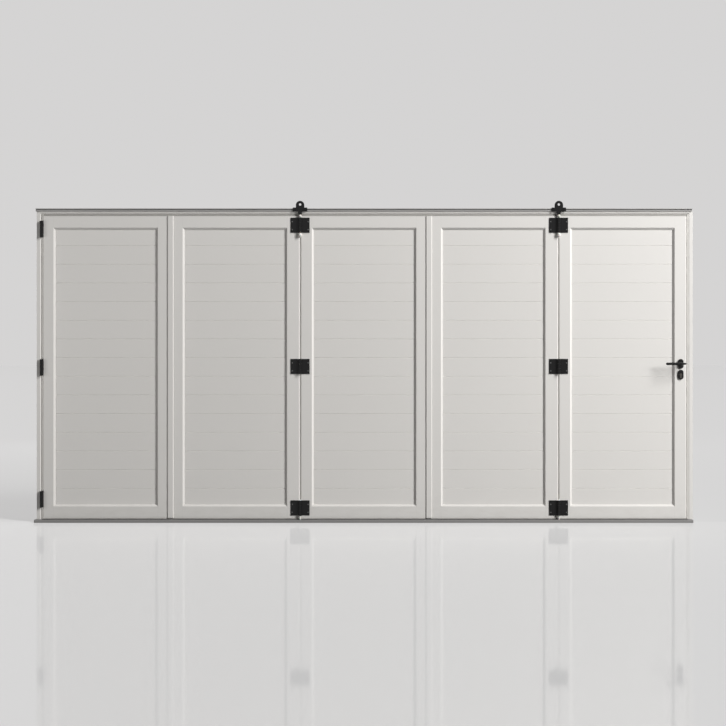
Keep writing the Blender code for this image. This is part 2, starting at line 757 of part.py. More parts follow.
def add_screws(half, side, line, level):
    """Two round screw heads near the plate's far edge."""
    x = hinge_line(line) + side * (FACE_HINGE_WIDTH / 2 - SCREW_EDGE)
    face = FACE_FRONT - TOUCH - PLATE_THICKNESS
    for index, step in enumerate((-SCREW_SPACING / 2, SCREW_SPACING / 2)):
        middle = (x, face - SCREW_HEAD_HEIGHT / 2 + OVERLAP / 2, level - SCREW_DROP + step)
        length = SCREW_HEAD_HEIGHT + OVERLAP
        name = f"{half.name}_screw_{index}"
        join(half, rod(name, middle, SCREW_HEAD_RADIUS, length, "Y", SCREW_SIDES))


def make_face_hinges(line):
    """The three hinges outside on one fold. The outer two turn on the trolley's and the guide's pins."""
    for label, level in FACE_HINGE_LEVELS.items():
        low = level - FACE_HINGE_HEIGHT / 2
        high = level + FACE_HINGE_HEIGHT / 2
        bottom, middle, top = knuckle_spans(low, high, 3)
        pin = (low, high) if label == "middle" else None
        name = f"fold_{line}_hinge_{label}"
        left = face_half(
            f"{name}_left", -1, -1, line, low, high, [bottom, top], FACE_HINGE_WIDTH, pin
        )
        right = face_half(
            f"{name}_right", 1, -1, line, low, high, [middle], FACE_HINGE_WIDTH
        )
        for half, side in ((left, -1), (right, 1)):
            add_screws(half, side, line, level)
        finish(left, BLACK_STEEL, FOLD[line])
        finish(right, BLACK_STEEL, FOLD[line + 1])


def make_rear_hinge(line):
    """The long hinge inside on one fold, with its knuckles by turns on either leaf."""
    low = LEAF_BOTTOM + REAR_HINGE_END
    high = HEAD_BOTTOM - STOP_LAP - REAR_HINGE_END
    spans = knuckle_spans(low, high, REAR_HINGE_KNUCKLES)
    name = f"fold_{line}_hinge"
    left = face_half(
        f"{name}_left", -1, 1, line, low, high, spans[0::2], REAR_HINGE_WIDTH, (low, high)
    )
    right = face_half(f"{name}_right", 1, 1, line, low, high, spans[1::2], REAR_HINGE_WIDTH)
    finish(left, BLACK_STEEL, FOLD[line])
    finish(right, BLACK_STEEL, FOLD[line + 1])


def make_butt_hinges():
    """The three hinges between the left jamb and leaf 1, with their plates in the gap."""
    axis = (hinge_line(0), AXIS_FRONT)
    near = AXIS_FRONT + KNUCKLE_RADIUS + BUTT_PLATE_GAP
    far = near + BUTT_PLATE_DEPTH
    jamb_x = -OPENING_HALF + TOUCH + BUTT_PLATE_THICKNESS / 2
    leaf_x = leaf_sides(1)[0] - TOUCH - BUTT_PLATE_THICKNESS / 2
    for label, level in BUTT_HINGE_LEVELS.items():
        low = level - BUTT_HINGE_HEIGHT / 2
        high = level + BUTT_HINGE_HEIGHT / 2
        bottom, middle, top = knuckle_spans(low, high, 3)
        name = f"hanging_hinge_{label}"
        reach = AXIS_FRONT + KNUCKLE_RADIUS / 2
        outline = comb(near, far, low, high, reach, [bottom, top])
        jamb_half = flat_piece(
            f"{name}_jamb_half", outline, "X", (jamb_x, 0.0, 0.0), BUTT_PLATE_THICKNESS
        )
        add_knuckles(jamb_half, axis, [bottom, top], (low, high))
        outline = comb(near, far, low, high, reach, [middle])
        leaf_half = flat_piece(
            f"{name}_leaf_half", outline, "X", (leaf_x, 0.0, 0.0), BUTT_PLATE_THICKNESS
        )
        add_knuckles(leaf_half, axis, [middle])
        finish(jamb_half, BLACK_STEEL)
        finish(leaf_half, BLACK_STEEL, FOLD[1])


# Trolleys and guide pins


def ball_profile(radius, top, bottom, latitudes, steps):
    """Points down the side of a ball squeezed between two levels, from one latitude to another."""
    first, last = latitudes
    points = []
    for index in range(steps + 1):
        angle = math.radians(first + (last - first) * index / steps)
        share = (math.sin(angle) + 1) / 2
        points.append((radius * math.cos(angle), top + (bottom - top) * share))
    return points


def make_carriage(line):
    """The flat carriage in front of the rail, with its lifting lug, its stem and two roller stubs."""
    name = f"trolley_{line}_carriage"
    half_height = CARRIAGE_HEIGHT / 2
    lug_top = half_height + LUG_HEIGHT
    radius = LUG_WIDTH / 2
    arch = []
    for index in range(ARCH_STEPS + 1):
        angle = math.pi * index / ARCH_STEPS
        arch.append((radius * math.cos(angle), lug_top - radius + radius * math.sin(angle)))
    stem_low = STEM_BOTTOM - CARRIAGE_LEVEL
    outline = [
        (-STEM_END_WIDTH / 2, stem_low),
        (STEM_END_WIDTH / 2, stem_low),
        (STEM_WIDTH / 2, -half_height - ARM_TAPER),
        (CARRIAGE_WIDTH / 2, -half_height),
        (CARRIAGE_WIDTH / 2, half_height),
        (radius, half_height),
        *arch,
        (-radius, half_height),
        (-CARRIAGE_WIDTH / 2, half_height),
        (-CARRIAGE_WIDTH / 2, -half_height),
        (-STEM_WIDTH / 2, -half_height - ARM_TAPER),
    ]
    x = hinge_line(line)
    middle = (x, AXIS_FRONT, CARRIAGE_LEVEL)
    carriage = flat_piece(name, outline, "Y", middle, CARRIAGE_THICKNESS)
    hole = (x, AXIS_FRONT, CARRIAGE_LEVEL + lug_top - LUG_HOLE_DROP)
    length = CARRIAGE_THICKNESS + 2 * PAST
    cut(carriage, rod(f"{name}_lug_hole", hole, LUG_HOLE_RADIUS, length, "Y", BORE_SIDES))
    start = AXIS_FRONT
    end = roller_ends()[1] + OVERLAP
    for index, side in enumerate((-1, 1)):
        stub = (x + side * ROLLER_SPACING / 2, (start + end) / 2, ROLLER_LEVEL)
        join(carriage, rod(f"{name}_stub_{index}", stub, STUB_RADIUS, end - start, "Y", BORE_SIDES))
    return finish(carriage, BLACK_STEEL, TROLLEY[line])


def roller_ends():
    """The y of a roller's two faces, in the middle of the rail's inside."""
    middle = RAIL_FRONT + RAIL_DEPTH / 2 - ROLLER_LENGTH / 2
    return middle - ROLLER_LENGTH / 2, middle + ROLLER_LENGTH / 2


def make_rollers(line):
    """The two rollers that carry the trolley inside the rail."""
    radius = RAIL_HEIGHT / 2 - RAIL_WALL - ROLLER_CLEARANCE
    front, back = roller_ends()
    for label, side in (("left", -1), ("right", 1)):
        middle = (hinge_line(line) + side * ROLLER_SPACING / 2, (front + back) / 2, ROLLER_LEVEL)
        name = f"trolley_{line}_roller_{label}"
        axle = pivot(f"axis_{name}", middle, TROLLEY[line])
        roller = rod(name, middle, radius, back - front, "Y")
        bore = rod(
            f"{name}_bore", middle, STUB_RADIUS + PIN_CLEARANCE, back - front + 2 * PAST, "Y", BORE_SIDES
        )
        cut(roller, bore)
        finish(roller, WHITE_NYLON, axle)


def make_hanger_pin(line):
    """The pin that hangs the top hinge on the trolley, with a nylon ball above and a drop below."""
    hinge_low = FACE_HINGE_LEVELS["top"] - FACE_HINGE_HEIGHT / 2
    hinge_high = FACE_HINGE_LEVELS["top"] + FACE_HINGE_HEIGHT / 2
    ball_low = hinge_high + HEAD_BALL_GAP
    ball_high = STEM_BOTTOM - TOUCH
    drop_high = hinge_low - KNUCKLE_CLEARANCE
    drop_low = drop_high - DROP_BALL_HEIGHT
    profile = [
        (0.0, ball_high),
        *ball_profile(HEAD_BALL_RADIUS, ball_high, ball_low, HEAD_BALL_LATITUDES, HEAD_BALL_STEPS),
        (PIN_RADIUS, hinge_high + KNUCKLE_CLEARANCE),
        (PIN_RADIUS, drop_high),
        *ball_profile(DROP_BALL_RADIUS, drop_high, drop_low, DROP_BALL_LATITUDES, DROP_BALL_STEPS),
        (DROP_BALL_RADIUS * DROP_TIP_SHARE, drop_low),
        (0.0, drop_low),
    ]
    profile[1] = (profile[1][0], ball_high)
    level = FACE_HINGE_LEVELS["top"]
    placed = [(radius, height - level) for radius, height in profile]
    pin = turned(f"trolley_{line}_hanger_pin", placed, (hinge_line(line), AXIS_FRONT, level))
    return finish(pin, WHITE_NYLON, TROLLEY[line])


def make_guide_pin(line):
    """The pin through the bottom hinge, with a small cap on top and its nylon foot in the channel."""
    hinge_high = FACE_HINGE_LEVELS["bottom"] + FACE_HINGE_HEIGHT / 2
    cap_low = hinge_high + KNUCKLE_CLEARANCE
    foot = THRESHOLD_HEIGHT - GUIDE_PIN_ENTRY
    profile = [
        (0.0, cap_low + CAP_HEIGHT),
        (CAP_RADIUS / 2, cap_low + CAP_HEIGHT * CAP_CROWN),
        (CAP_RADIUS, cap_low + CAP_HEIGHT * CAP_SHOULDER),
        (CAP_RADIUS, cap_low),
        (PIN_RADIUS, cap_low),
        (PIN_RADIUS, foot + OVERLAP),
        (PIN_RADIUS - OVERLAP, foot),
        (0.0, foot),
    ]
    level = FACE_HINGE_LEVELS["bottom"]
    placed = [(radius, height - level) for radius, height in profile]
    pin = turned(f"guide_pin_{line}", placed, (hinge_line(line), AXIS_FRONT, level))
    return finish(pin, WHITE_NYLON, GUIDE[line])


# Lock and handles


def cylinder_outline(clearance):
    """The key cylinder's section: a round top on a narrower web."""
    radius = CYLINDER_RADIUS + clearance
    half_web = CYLINDER_WEB / 2 + clearance
    start = math.asin(half_web / radius) - math.pi / 2
    outline = []
    for index in range(CYLINDER_STEPS + 1):
        angle = start + (math.pi - 2 * start) * index / CYLINDER_STEPS
        outline.append((radius * math.cos(angle), radius * math.sin(angle)))
    low = radius - CYLINDER_HEIGHT - clearance * 2
    return outline + [(-half_web, low), (half_web, low)]


def cylinder_hole(name, y):
    middle = (SPINDLE_X, sum(y) / 2, CYLINDER_LEVEL)
    return flat_piece(name, cylinder_outline(NECK_CLEARANCE), "Y", middle, y[1] - y[0])


def neck_hole(name, y, radius=LEVER_RADIUS + NECK_CLEARANCE):
    middle = (SPINDLE_X, sum(y) / 2, SPINDLE_HEIGHT)
    return rod(name, middle, radius, y[1] - y[0], "Y", KNUCKLE_SIDES)


def make_lock_case(leaf_frame):
    """The mortice lock's case in the edge of leaf 5, and the holes in the stile for it."""
    edge = LOCK_EDGE - CASE_CLEARANCE
    back = edge - CASE_DEPTH
    level = (LATCH_LEVEL + CYLINDER_LEVEL) / 2 - CYLINDER_RADIUS
    half_height = CASE_HEIGHT / 2
    half_thickness = CASE_THICKNESS / 2
    through = (FACE_FRONT - PAST, FACE_BACK + PAST)
    case = box(
        "lock_case",
        (back, edge),
        (-half_thickness, half_thickness),
        (level - half_height, level + half_height),
    )
    latch_start = LOCK_EDGE + LATCH_REACH - LATCH_LENGTH - LATCH_TRAVEL - BOLT_CLEARANCE
    dead_start = edge - DEAD_BOLT_LENGTH - BOLT_CLEARANCE
    cut(case, bolt_hole("case", "latch", (latch_start, edge + PAST), BOLT_CLEARANCE))
    cut(case, bolt_hole("case", "dead_bolt", (dead_start, edge + PAST), BOLT_CLEARANCE))
    cut(case, neck_hole("case_neck_hole", through, SPINDLE_WIDTH))
    cut(case, cylinder_hole("case_cylinder_hole", through))
    mortice = box(
        "lock_mortice",
        (back - CASE_CLEARANCE, LOCK_EDGE + PAST),
        grown((-half_thickness, half_thickness), CASE_CLEARANCE),
        grown((level - half_height, level + half_height), CASE_CLEARANCE),
    )
    cut(leaf_frame, mortice)
    cut(leaf_frame, neck_hole("stile_neck_hole", through, SPINDLE_WIDTH))
    cut(leaf_frame, cylinder_hole("stile_cylinder_hole", through))
    return finish(case, BRIGHT_STEEL, FOLD[5])


def make_bolts():
    """The sprung latch bolt and the square dead bolt."""
    tip = LOCK_EDGE + LATCH_REACH
    half = LATCH_THICKNESS / 2
    latch_x = (tip - LATCH_LENGTH, tip)
    latch = box("latch_bolt", latch_x, (-half, half), grown((LATCH_LEVEL, LATCH_LEVEL), LATCH_HEIGHT / 2))
    finish(latch, BRIGHT_STEEL, pivot("axis_latch_bolt", (SPINDLE_X, 0.0, LATCH_LEVEL), FOLD[5]))
    edge = LOCK_EDGE - CASE_CLEARANCE
    half = DEAD_BOLT_THICKNESS / 2
    dead_x = (edge - DEAD_BOLT_LENGTH, edge)
    levels = grown((DEAD_BOLT_LEVEL, DEAD_BOLT_LEVEL), DEAD_BOLT_HEIGHT / 2)
    dead = box("dead_bolt", dead_x, (-half, half), levels)
    finish(dead, BRIGHT_STEEL, pivot("axis_dead_bolt", (SPINDLE_X, 0.0, DEAD_BOLT_LEVEL), FOLD[5]))


def lever_arm(name, facing):
    """A round lever: out from the leaf, round the bend and away from the edge, with a domed tip."""
    neck = LEAF_THICKNESS / 2 + LEVER_GAP
    out = LEAF_THICKNESS / 2 + LEVER_STANDOFF
    points = [(0.0, facing * neck, 0.0)]
    shares = [1.0]
    for index in range(BEND_STEPS + 1):
        angle = math.pi / 2 * index / BEND_STEPS
        across = -LEVER_BEND * (1 - math.cos(angle))
        away = out - LEVER_BEND + LEVER_BEND * math.sin(angle)
        points.append((across, facing * away, 0.0))
        shares.append(1.0)
    dome = LEVER_LENGTH - LEVER_RADIUS
    for degrees in LEVER_TIP_DEGREES:
        angle = math.radians(degrees)
        points.append((-dome - LEVER_RADIUS * math.sin(angle), facing * out, 0.0))
        shares.append(math.cos(angle))
    return tube(name, points, shares, LEVER_RADIUS, (SPINDLE_X, 0.0, SPINDLE_HEIGHT))


def make_handles():
    """Both levers on their spindle, with the outer rose and the inner backplate."""
    axis = pivot("axis_lever", (SPINDLE_X, 0.0, SPINDLE_HEIGHT), FOLD[5])
    outer = lever_arm("lever_outer", -1)
    half = SPINDLE_WIDTH / 2
    spindle = box(
        "lever_spindle",
        grown((SPINDLE_X, SPINDLE_X), half),
        (FACE_FRONT - SPINDLE_WIDTH, FACE_BACK + SPINDLE_END),
        grown((SPINDLE_HEIGHT, SPINDLE_HEIGHT), half),
    )
    join(outer, spindle)
    finish(outer, BLACK_STEEL, axis)
    finish(lever_arm("lever_inner", 1), BLACK_STEEL, axis)

    back = FACE_FRONT - TOUCH
    front = back - ROSE_THICKNESS
    straight = (ROSE_HEIGHT - ROSE_WIDTH) / 2
    oval = []
    for index in range(OVAL_POINTS):
        angle = math.tau * (index + 0.5) / OVAL_POINTS
        lift = math.copysign(straight, math.sin(angle))
        oval.append((ROSE_WIDTH / 2 * math.cos(angle), ROSE_WIDTH / 2 * math.sin(angle) + lift))
    through = (front - PAST, back + PAST)
    rose = flat_piece(
        "rose_outer", oval, "Y", (SPINDLE_X, (front + back) / 2, SPINDLE_HEIGHT), ROSE_THICKNESS
    )
    cut(rose, neck_hole("rose_neck_hole", through))
    finish(rose, BLACK_STEEL, FOLD[5])
    escutcheon = flat_piece(
        "escutcheon_outer", oval, "Y", (SPINDLE_X, (front + back) / 2, CYLINDER_LEVEL), ROSE_THICKNESS
    )
    cut(escutcheon, cylinder_hole("escutcheon_cylinder_hole", through))
    finish(escutcheon, BLACK_STEEL, FOLD[5])

    near = FACE_BACK + TOUCH
    far = near + BACKPLATE_THICKNESS
    level = (SPINDLE_HEIGHT + CYLINDER_LEVEL) / 2
    plate = box(
        "backplate_inner",
        grown((SPINDLE_X, SPINDLE_X), BACKPLATE_WIDTH / 2),
        (near, far),
        grown((level, level), BACKPLATE_HEIGHT / 2),
    )
    through = (near - PAST, far + PAST)
    cut(plate, neck_hole("backplate_neck_hole", through))
    cut(plate, cylinder_hole("backplate_cylinder_hole", through))
    finish(plate, BLACK_STEEL, FOLD[5])


def make_key_cylinder():
    """The key cylinder through the lock, and the thumb turn on its inner end."""
    front = FACE_FRONT - TOUCH - ROSE_THICKNESS
    back = FACE_BACK + TOUCH + BACKPLATE_THICKNESS + CYLINDER_END
    middle = (SPINDLE_X, (front + back) / 2, CYLINDER_LEVEL)
    finish(
        flat_piece("key_cylinder", cylinder_outline(0.0), "Y", middle, back - front),
        BRIGHT_STEEL,
        FOLD[5],
    )
    start = back + TOUCH
    stem = (SPINDLE_X, start + THUMB_STEM_LENGTH / 2, CYLINDER_LEVEL)
    turn = rod("thumb_turn", stem, THUMB_STEM_RADIUS, THUMB_STEM_LENGTH, "Y", BORE_SIDES)
    grip = box(
        "thumb_turn_grip",
        grown((SPINDLE_X, SPINDLE_X), THUMB_WIDTH / 2),
        (start + THUMB_STEM_LENGTH - OVERLAP, start + THUMB_STEM_LENGTH + THUMB_LENGTH),
        grown((CYLINDER_LEVEL, CYLINDER_LEVEL), THUMB_HEIGHT / 2),
    )
    join(turn, grip)
    finish(turn, BLACK_STEEL, pivot("axis_thumb_turn", stem, FOLD[5]))


# The whole door

make_jamb(-1, "jamb_left")
lock_jamb = make_jamb(1, "jamb_right")
make_head()
make_running_rail()
make_threshold()
make_strike_plate(lock_jamb)
leaf_frames = {number: make_leaf_frame(number) for number in LEAVES}
for number in LEAVES:
    make_leaf_panel(number)
make_cover_strip(2)
make_cover_strip(4)
make_butt_hinges()
for line in (1, 3):
    make_rear_hinge(line)
for line in (2, 4):
    make_face_hinges(line)
    make_carriage(line)
    make_rollers(line)
    make_hanger_pin(line)
    make_guide_pin(line)
make_lock_case(leaf_frames[5])
make_bolts()
make_handles()
make_key_cylinder()
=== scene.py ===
"""A white five-leaf folding door, shut, in a plain pale studio.

Metres, +Z up. The outside looks along -Y, and x = 0 is the middle of the opening.
"""

import math

import bmesh
import bpy
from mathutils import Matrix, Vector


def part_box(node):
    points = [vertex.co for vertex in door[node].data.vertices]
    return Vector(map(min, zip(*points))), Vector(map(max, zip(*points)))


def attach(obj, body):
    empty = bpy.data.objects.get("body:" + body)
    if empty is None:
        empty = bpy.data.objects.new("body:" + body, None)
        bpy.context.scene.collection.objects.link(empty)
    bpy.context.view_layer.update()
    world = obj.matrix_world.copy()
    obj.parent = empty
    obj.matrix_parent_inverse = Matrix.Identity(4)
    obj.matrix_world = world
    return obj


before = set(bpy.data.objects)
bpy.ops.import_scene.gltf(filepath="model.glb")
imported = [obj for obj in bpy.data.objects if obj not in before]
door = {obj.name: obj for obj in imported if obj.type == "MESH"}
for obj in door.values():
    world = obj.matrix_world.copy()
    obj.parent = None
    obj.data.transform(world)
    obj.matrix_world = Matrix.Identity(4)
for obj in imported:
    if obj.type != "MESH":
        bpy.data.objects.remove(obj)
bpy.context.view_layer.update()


# Jambs, head, leaves and cover strips
#
# Stiles, rails, jambs and head are planed softwood, sanded, primed and sprayed a warm satin white.
# A leaf's rails butt against its stiles, and its grooved boards sit loose in a groove all round.


class Wire:
    """A value inside a finish. It adds, takes away, multiplies and divides like a number."""

    def __init__(self, finish, socket):
        self.finish = finish
        self.socket = socket

    def maths(self, operation, *values):
        return self.finish.add("ShaderNodeMath", {"operation": operation}, values)

    def __add__(self, other):
        return self.maths("ADD", self, other)

    __radd__ = __add__

    def __sub__(self, other):
        return self.maths("SUBTRACT", self, other)

    def __rsub__(self, other):
        return self.maths("SUBTRACT", other, self)

    def __mul__(self, other):
        return self.maths("MULTIPLY", self, other)

    __rmul__ = __mul__

    def __truediv__(self, other):
        return self.maths("DIVIDE", self, other)

    def __rtruediv__(self, other):
        return self.maths("DIVIDE", other, self)

    def __pow__(self, other):
        return self.maths("POWER", self, other)

    def __mod__(self, other):
        return self.maths("FLOORED_MODULO", self, other)

    def __lt__(self, other):
        return self.maths("LESS_THAN", self, other)

    def __gt__(self, other):
        return self.maths("GREATER_THAN", self, other)

    def __abs__(self):
        return self.maths("ABSOLUTE", self)

    def floor(self):
        return self.maths("FLOOR", self)

    def larger(self, other):
        return self.maths("MAXIMUM", self, other)


class Finish:
    """A material that is mixed from nodes, one call for each."""

    def __init__(self, name):
        self.material = bpy.data.materials.new(name)
        self.material.use_nodes = True
        self.tree = self.material.node_tree
        self.tree.nodes.clear()
        self.place = self.add("ShaderNodeTexCoord", {}, {}, "Object")
        parts = self.tree.nodes.new("ShaderNodeSeparateXYZ")
        self.tree.links.new(self.place.socket, parts.inputs[0])
        self.x, self.y, self.z = (Wire(self, socket) for socket in parts.outputs)

    def add(self, kind, settings, values, output=0):
        """Adds a node, makes its settings first, and then gives its sockets their values or wires."""
        node = self.tree.nodes.new(kind)
        for name, value in settings.items():
            setattr(node, name, value)
        named = values.items() if isinstance(values, dict) else enumerate(values)
        for name, value in named:
            if isinstance(value, Wire):
                self.tree.links.new(value.socket, node.inputs[name])
            else:
                node.inputs[name].default_value = value
        return Wire(self, node.outputs[output]) if node.outputs else node

    def noise(self, scale, stretch=(1.0, 1.0, 1.0), detail=2.0, roughness=0.55):
        """Cloudy noise from 0 to 1. A stretch above 1 draws the pattern finer along that axis."""
        spot = {"Vector": self.place, "Scale": stretch}
        scaled = self.add("ShaderNodeMapping", {"vector_type": "POINT"}, spot)
        values = {"Vector": scaled, "Scale": scale, "Detail": detail, "Roughness": roughness}
        return self.add("ShaderNodeTexNoise", {}, values)

    def ramp(self, value, low, high):
        """0 below low, 1 above high and a smooth rise between them."""
        values = {"Value": value, "From Min": low, "From Max": high}
        return self.add("ShaderNodeMapRange", {"interpolation_type": "SMOOTHSTEP"}, values)

    def blend(self, share, first, second):
        """The first colour at a share of 0, and the second at 1."""
        return self.add("ShaderNodeMix", {"data_type": "RGBA"}, {0: share, 6: first, 7: second}, 2)

    def relief(self, height, distance, strength):
        """Fine relief for the shader's normal, as deep as the distance at a height of 1."""
        values = {"Height": height, "Distance": distance, "Strength": strength}
        return self.add("ShaderNodeBump", {}, values)

    def surface(self, **values):
        """Ends the finish in a shader. An underscore stands for a space in a socket's name."""
        named = {name.replace("_", " "): value for name, value in values.items()}
        shader = self.add("ShaderNodeBsdfPrincipled", {}, named)
        self.add("ShaderNodeOutputMaterial", {}, {"Surface": shader})
        return self.material


def colour(red, green, blue, tone=1.0):
    """An opaque colour, darker or lighter by its tone."""
    return (tone * red, tone * green, tone * blue, 1.0)


def coat(node, material):
    """Gives a carried-over piece its finish."""
    for slot in door[node].material_slots:
        slot.material = material


LEAF_WHITE = (0.797, 0.776, 0.744)
DEEP_TONE = 0.94
DUST = colour(0.50, 0.47, 0.42)
DUST_FULL = 0.03
DUST_END = 0.30
LEAF_PITCH = 0.886  # from one hinge line to the next
FIRST_LINE = -2.215
STILE_JOINTS = (0.0795, 0.7965)  # from the hinge line on a leaf's left
BOTTOM_RAIL_TOP = 0.107
TOP_RAIL_BOTTOM = 2.019
JOINT_HALF = 0.0004
JOINT_SHADE = colour(0.40, 0.38, 0.35)


def timber_paint(name, grain, joints=False):
    """Sprayed satin paint over timber, with its grain along one axis."""
    made = Finish(name)
    along = {"x": (0.6, 40.0, 40.0), "z": (40.0, 40.0, 0.6)}[grain]
    fibres = made.noise(6.0, along, 4.0, 0.6)
    cloud = made.noise(1.3)
    mottle = made.noise(55.0)
    peel = made.noise(420.0, detail=1.0)
    share = cloud * 0.55 + mottle * 0.25
    base = made.blend(share, colour(*LEAF_WHITE), colour(*LEAF_WHITE, DEEP_TONE))
    scuffs = made.noise(9.0, (1.0, 1.0, 3.0), 5.0, 0.7)
    low = 1 - made.ramp(made.z, DUST_FULL, DUST_END)
    dust = low * made.ramp(scuffs, 0.35, 0.80) * 0.16
    base = made.blend(dust, base, DUST)
    height = fibres * 0.35 + peel * 0.25
    if joints:
        across = (made.x - FIRST_LINE) % LEAF_PITCH
        left, right = (abs(across - joint) < JOINT_HALF for joint in STILE_JOINTS)
        rails = (made.z < BOTTOM_RAIL_TOP).larger(made.z > TOP_RAIL_BOTTOM)
        line = left.larger(right) * rails
        base = made.blend(line * 0.28, base, JOINT_SHADE)
        height = height - line
    return made.surface(
        Base_Color=base,
        Roughness=0.36 + mottle * 0.06 + fibres * 0.05 + dust * 0.3,
        Specular_IOR_Level=0.5,
        Normal=made.relief(height, 0.00012, 0.6),
    )


leaf_paint = timber_paint("satin white on stiles and rails", "z", joints=True)
upright_paint = timber_paint("satin white on uprights", "z")
level_paint = timber_paint("satin white on the head", "x")
for number in range(1, 6):
    coat(f"leaf_{number}_frame", leaf_paint)
for node in ("jamb_left", "jamb_right", "cover_strip_2", "cover_strip_4"):
    coat(node, upright_paint)
coat("head", level_paint)


# Grooved boards
#
# Each leaf is filled with level tongued boards, 128 mm from groove to groove, sprayed after
# assembly. The boards differ a little in tone, and the grooves are painted paler, a painted light that
# thins the shade in them.

BOARD_PITCH = 0.12828
BOARD_MIDDLE = 1.063
BOARD_DEEP_TONE = 0.93
GROOVE_CORE = 0.0004
GROOVE_EDGE = 0.0018
GROOVE_PAINTED_LIGHT = colour(0.90, 0.885, 0.86)


def board_paint():
    made = Finish("satin white on grooved boards")
    fibres = made.noise(5.0, (0.5, 40.0, 40.0), 4.0, 0.62)
    cloud = made.noise(1.1)
    mottle = made.noise(60.0)
    peel = made.noise(430.0, detail=1.0)
    leaf = ((made.x - FIRST_LINE) / LEAF_PITCH).floor()
    up = (made.z - BOARD_MIDDLE) / BOARD_PITCH
    board = (up + 0.5).floor()
    seed = made.add("ShaderNodeCombineXYZ", {}, [leaf, board, 0.0])
    toss = made.add("ShaderNodeTexWhiteNoise", {"noise_dimensions": "3D"}, [seed])
    share = cloud * 0.25 + mottle * 0.2 + toss * 0.12
    base = made.blend(share, colour(*LEAF_WHITE), colour(*LEAF_WHITE, BOARD_DEEP_TONE))
    aside = abs(up % 1.0 - 0.5) * BOARD_PITCH
    # Painted light: the grooves are painted paler, which thins the shade that falls in them.
    groove = 1 - made.ramp(aside, GROOVE_CORE, GROOVE_EDGE)
    return made.surface(
        Base_Color=made.blend(groove * 0.45, base, GROOVE_PAINTED_LIGHT),
        Roughness=0.38 + mottle * 0.06 + fibres * 0.06,
        Specular_IOR_Level=0.5,
        Normal=made.relief(fibres * 0.5 + peel * 0.2, 0.00015, 0.6),
    )


panel_paint = board_paint()
for number in range(1, 6):
    coat(f"leaf_{number}_panel", panel_paint)


# Running rail
#
# A drawn aluminium section on top of the head, anodised grey with draw lines along it, its grey painted
# lighter to stand in for light where its face lies in shade.
# Black rubber plugs close its two ends.

DRAWN_DARK = (0.315, 0.308, 0.300)
DRAWN_LIGHT = (0.400, 0.391, 0.380)
RIB_PITCH = 0.003
RIB_BOTTOM = 0.0195
RIB_TOP = 0.03


def grey_anodised(name, tone):
    """Anodised aluminium with draw lines along x, and fine ribs at the level of the threshold's top.
    Its tone paints light or shade into the grey: above 1 painted lighter, below 1 painted darker.
    """
    made = Finish(name)
    draw = made.noise(4.0, (0.4, 160.0, 160.0), 3.0, 0.7)
    cloud = made.noise(2.0)
    grit = made.noise(700.0, detail=1.0)
    share = draw * 0.5 + cloud * 0.3
    ribs = abs((made.y / RIB_PITCH) % 1.0 - 0.5)
    top = (made.z > RIB_BOTTOM) * (made.z < RIB_TOP)
    return made.surface(
        Base_Color=made.blend(share, colour(*DRAWN_DARK, tone), colour(*DRAWN_LIGHT, tone)),
        Roughness=0.40 + draw * 0.18 + grit * 0.05,
        Metallic=0.10,
        Normal=made.relief(draw * 0.3 + grit * 0.2 + ribs * top * 2.5, 0.0003, 0.6),
    )


# The rail's grey is painted lighter than the metal's own: painted light against the shade on its face.
RAIL_PAINTED_LIGHT = 1.4
coat("running_rail", grey_anodised("grey anodised rail with painted light", RAIL_PAINTED_LIGHT))


def black_rubber():
    """Moulded rubber with a fine grain and a little dust."""
    made = Finish("black rubber")
    grain = made.noise(900.0)
    cloud = made.noise(25.0, detail=3.0)
    return made.surface(
        Base_Color=made.blend(cloud * 0.5, colour(0.020, 0.020, 0.020), colour(0.040, 0.038, 0.036)),
        Roughness=0.62 + cloud * 0.12,
        Normal=made.relief(grain, 0.0001, 0.5),
    )


def new_piece(name, solid):
    """Turns a solid's faces outwards and puts it in the scene."""
    bmesh.ops.recalc_face_normals(solid, faces=solid.faces)
    mesh = bpy.data.meshes.new(name)
    solid.to_mesh(mesh)
    solid.free()
    made = bpy.data.objects.new(name, mesh)
    bpy.context.scene.collection.objects.link(made)
    return made


def extruded(name, outline, axis, start, end):
    """A closed bar of one section, outlined in (y, z) along x, (x, z) along y or (x, y) along z."""
    solid = bmesh.new()
    rings = []
    for at in (start, end):
        ring = []
        for first, second in outline:
            place = {"x": (at, first, second), "y": (first, at, second), "z": (first, second, at)}
            ring.append(solid.verts.new(place[axis]))
        rings.append(ring)
    near, far = rings
    for index in range(len(outline)):
        beside = (index + 1) % len(outline)
        solid.faces.new((near[index], near[beside], far[beside], far[index]))
    solid.faces.new(near)
    solid.faces.new(far)
    return new_piece(name, solid)


def soft_edges(piece, width):
    """Breaks a piece's sharp edges."""
    bevel = piece.modifiers.new("soft edges", "BEVEL")
    bevel.width = width
    bevel.segments = 2
    bevel.limit_method = "ANGLE"
    bevel.angle_limit = math.radians(35)
    return piece


def fit(piece, material, body):
    """Gives a new piece its finish and its body."""
    piece.data.materials.clear()
    piece.data.materials.append(material)
    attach(piece, body)


PLUG_INSET = 0.0024
PLUG_DEPTHS = (0.001, 0.026)
PLUG_EDGE = 0.0012
rubber = black_rubber()
rail_low, rail_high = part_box("running_rail")
front, back = rail_low.y + PLUG_INSET, rail_high.y - PLUG_INSET
under, over = rail_low.z + PLUG_INSET, rail_high.z - PLUG_INSET
section = [(front, under), (back, under), (back, over), (front, over)]
for label, end, inward in (("left", rail_low.x, 1), ("right", rail_high.x, -1)):
    ends = [end + inward * depth for depth in PLUG_DEPTHS]
    plug = extruded(f"rail_plug_{label}", section, "x", *ends)
    fit(soft_edges(plug, PLUG_EDGE), rubber, "frame")
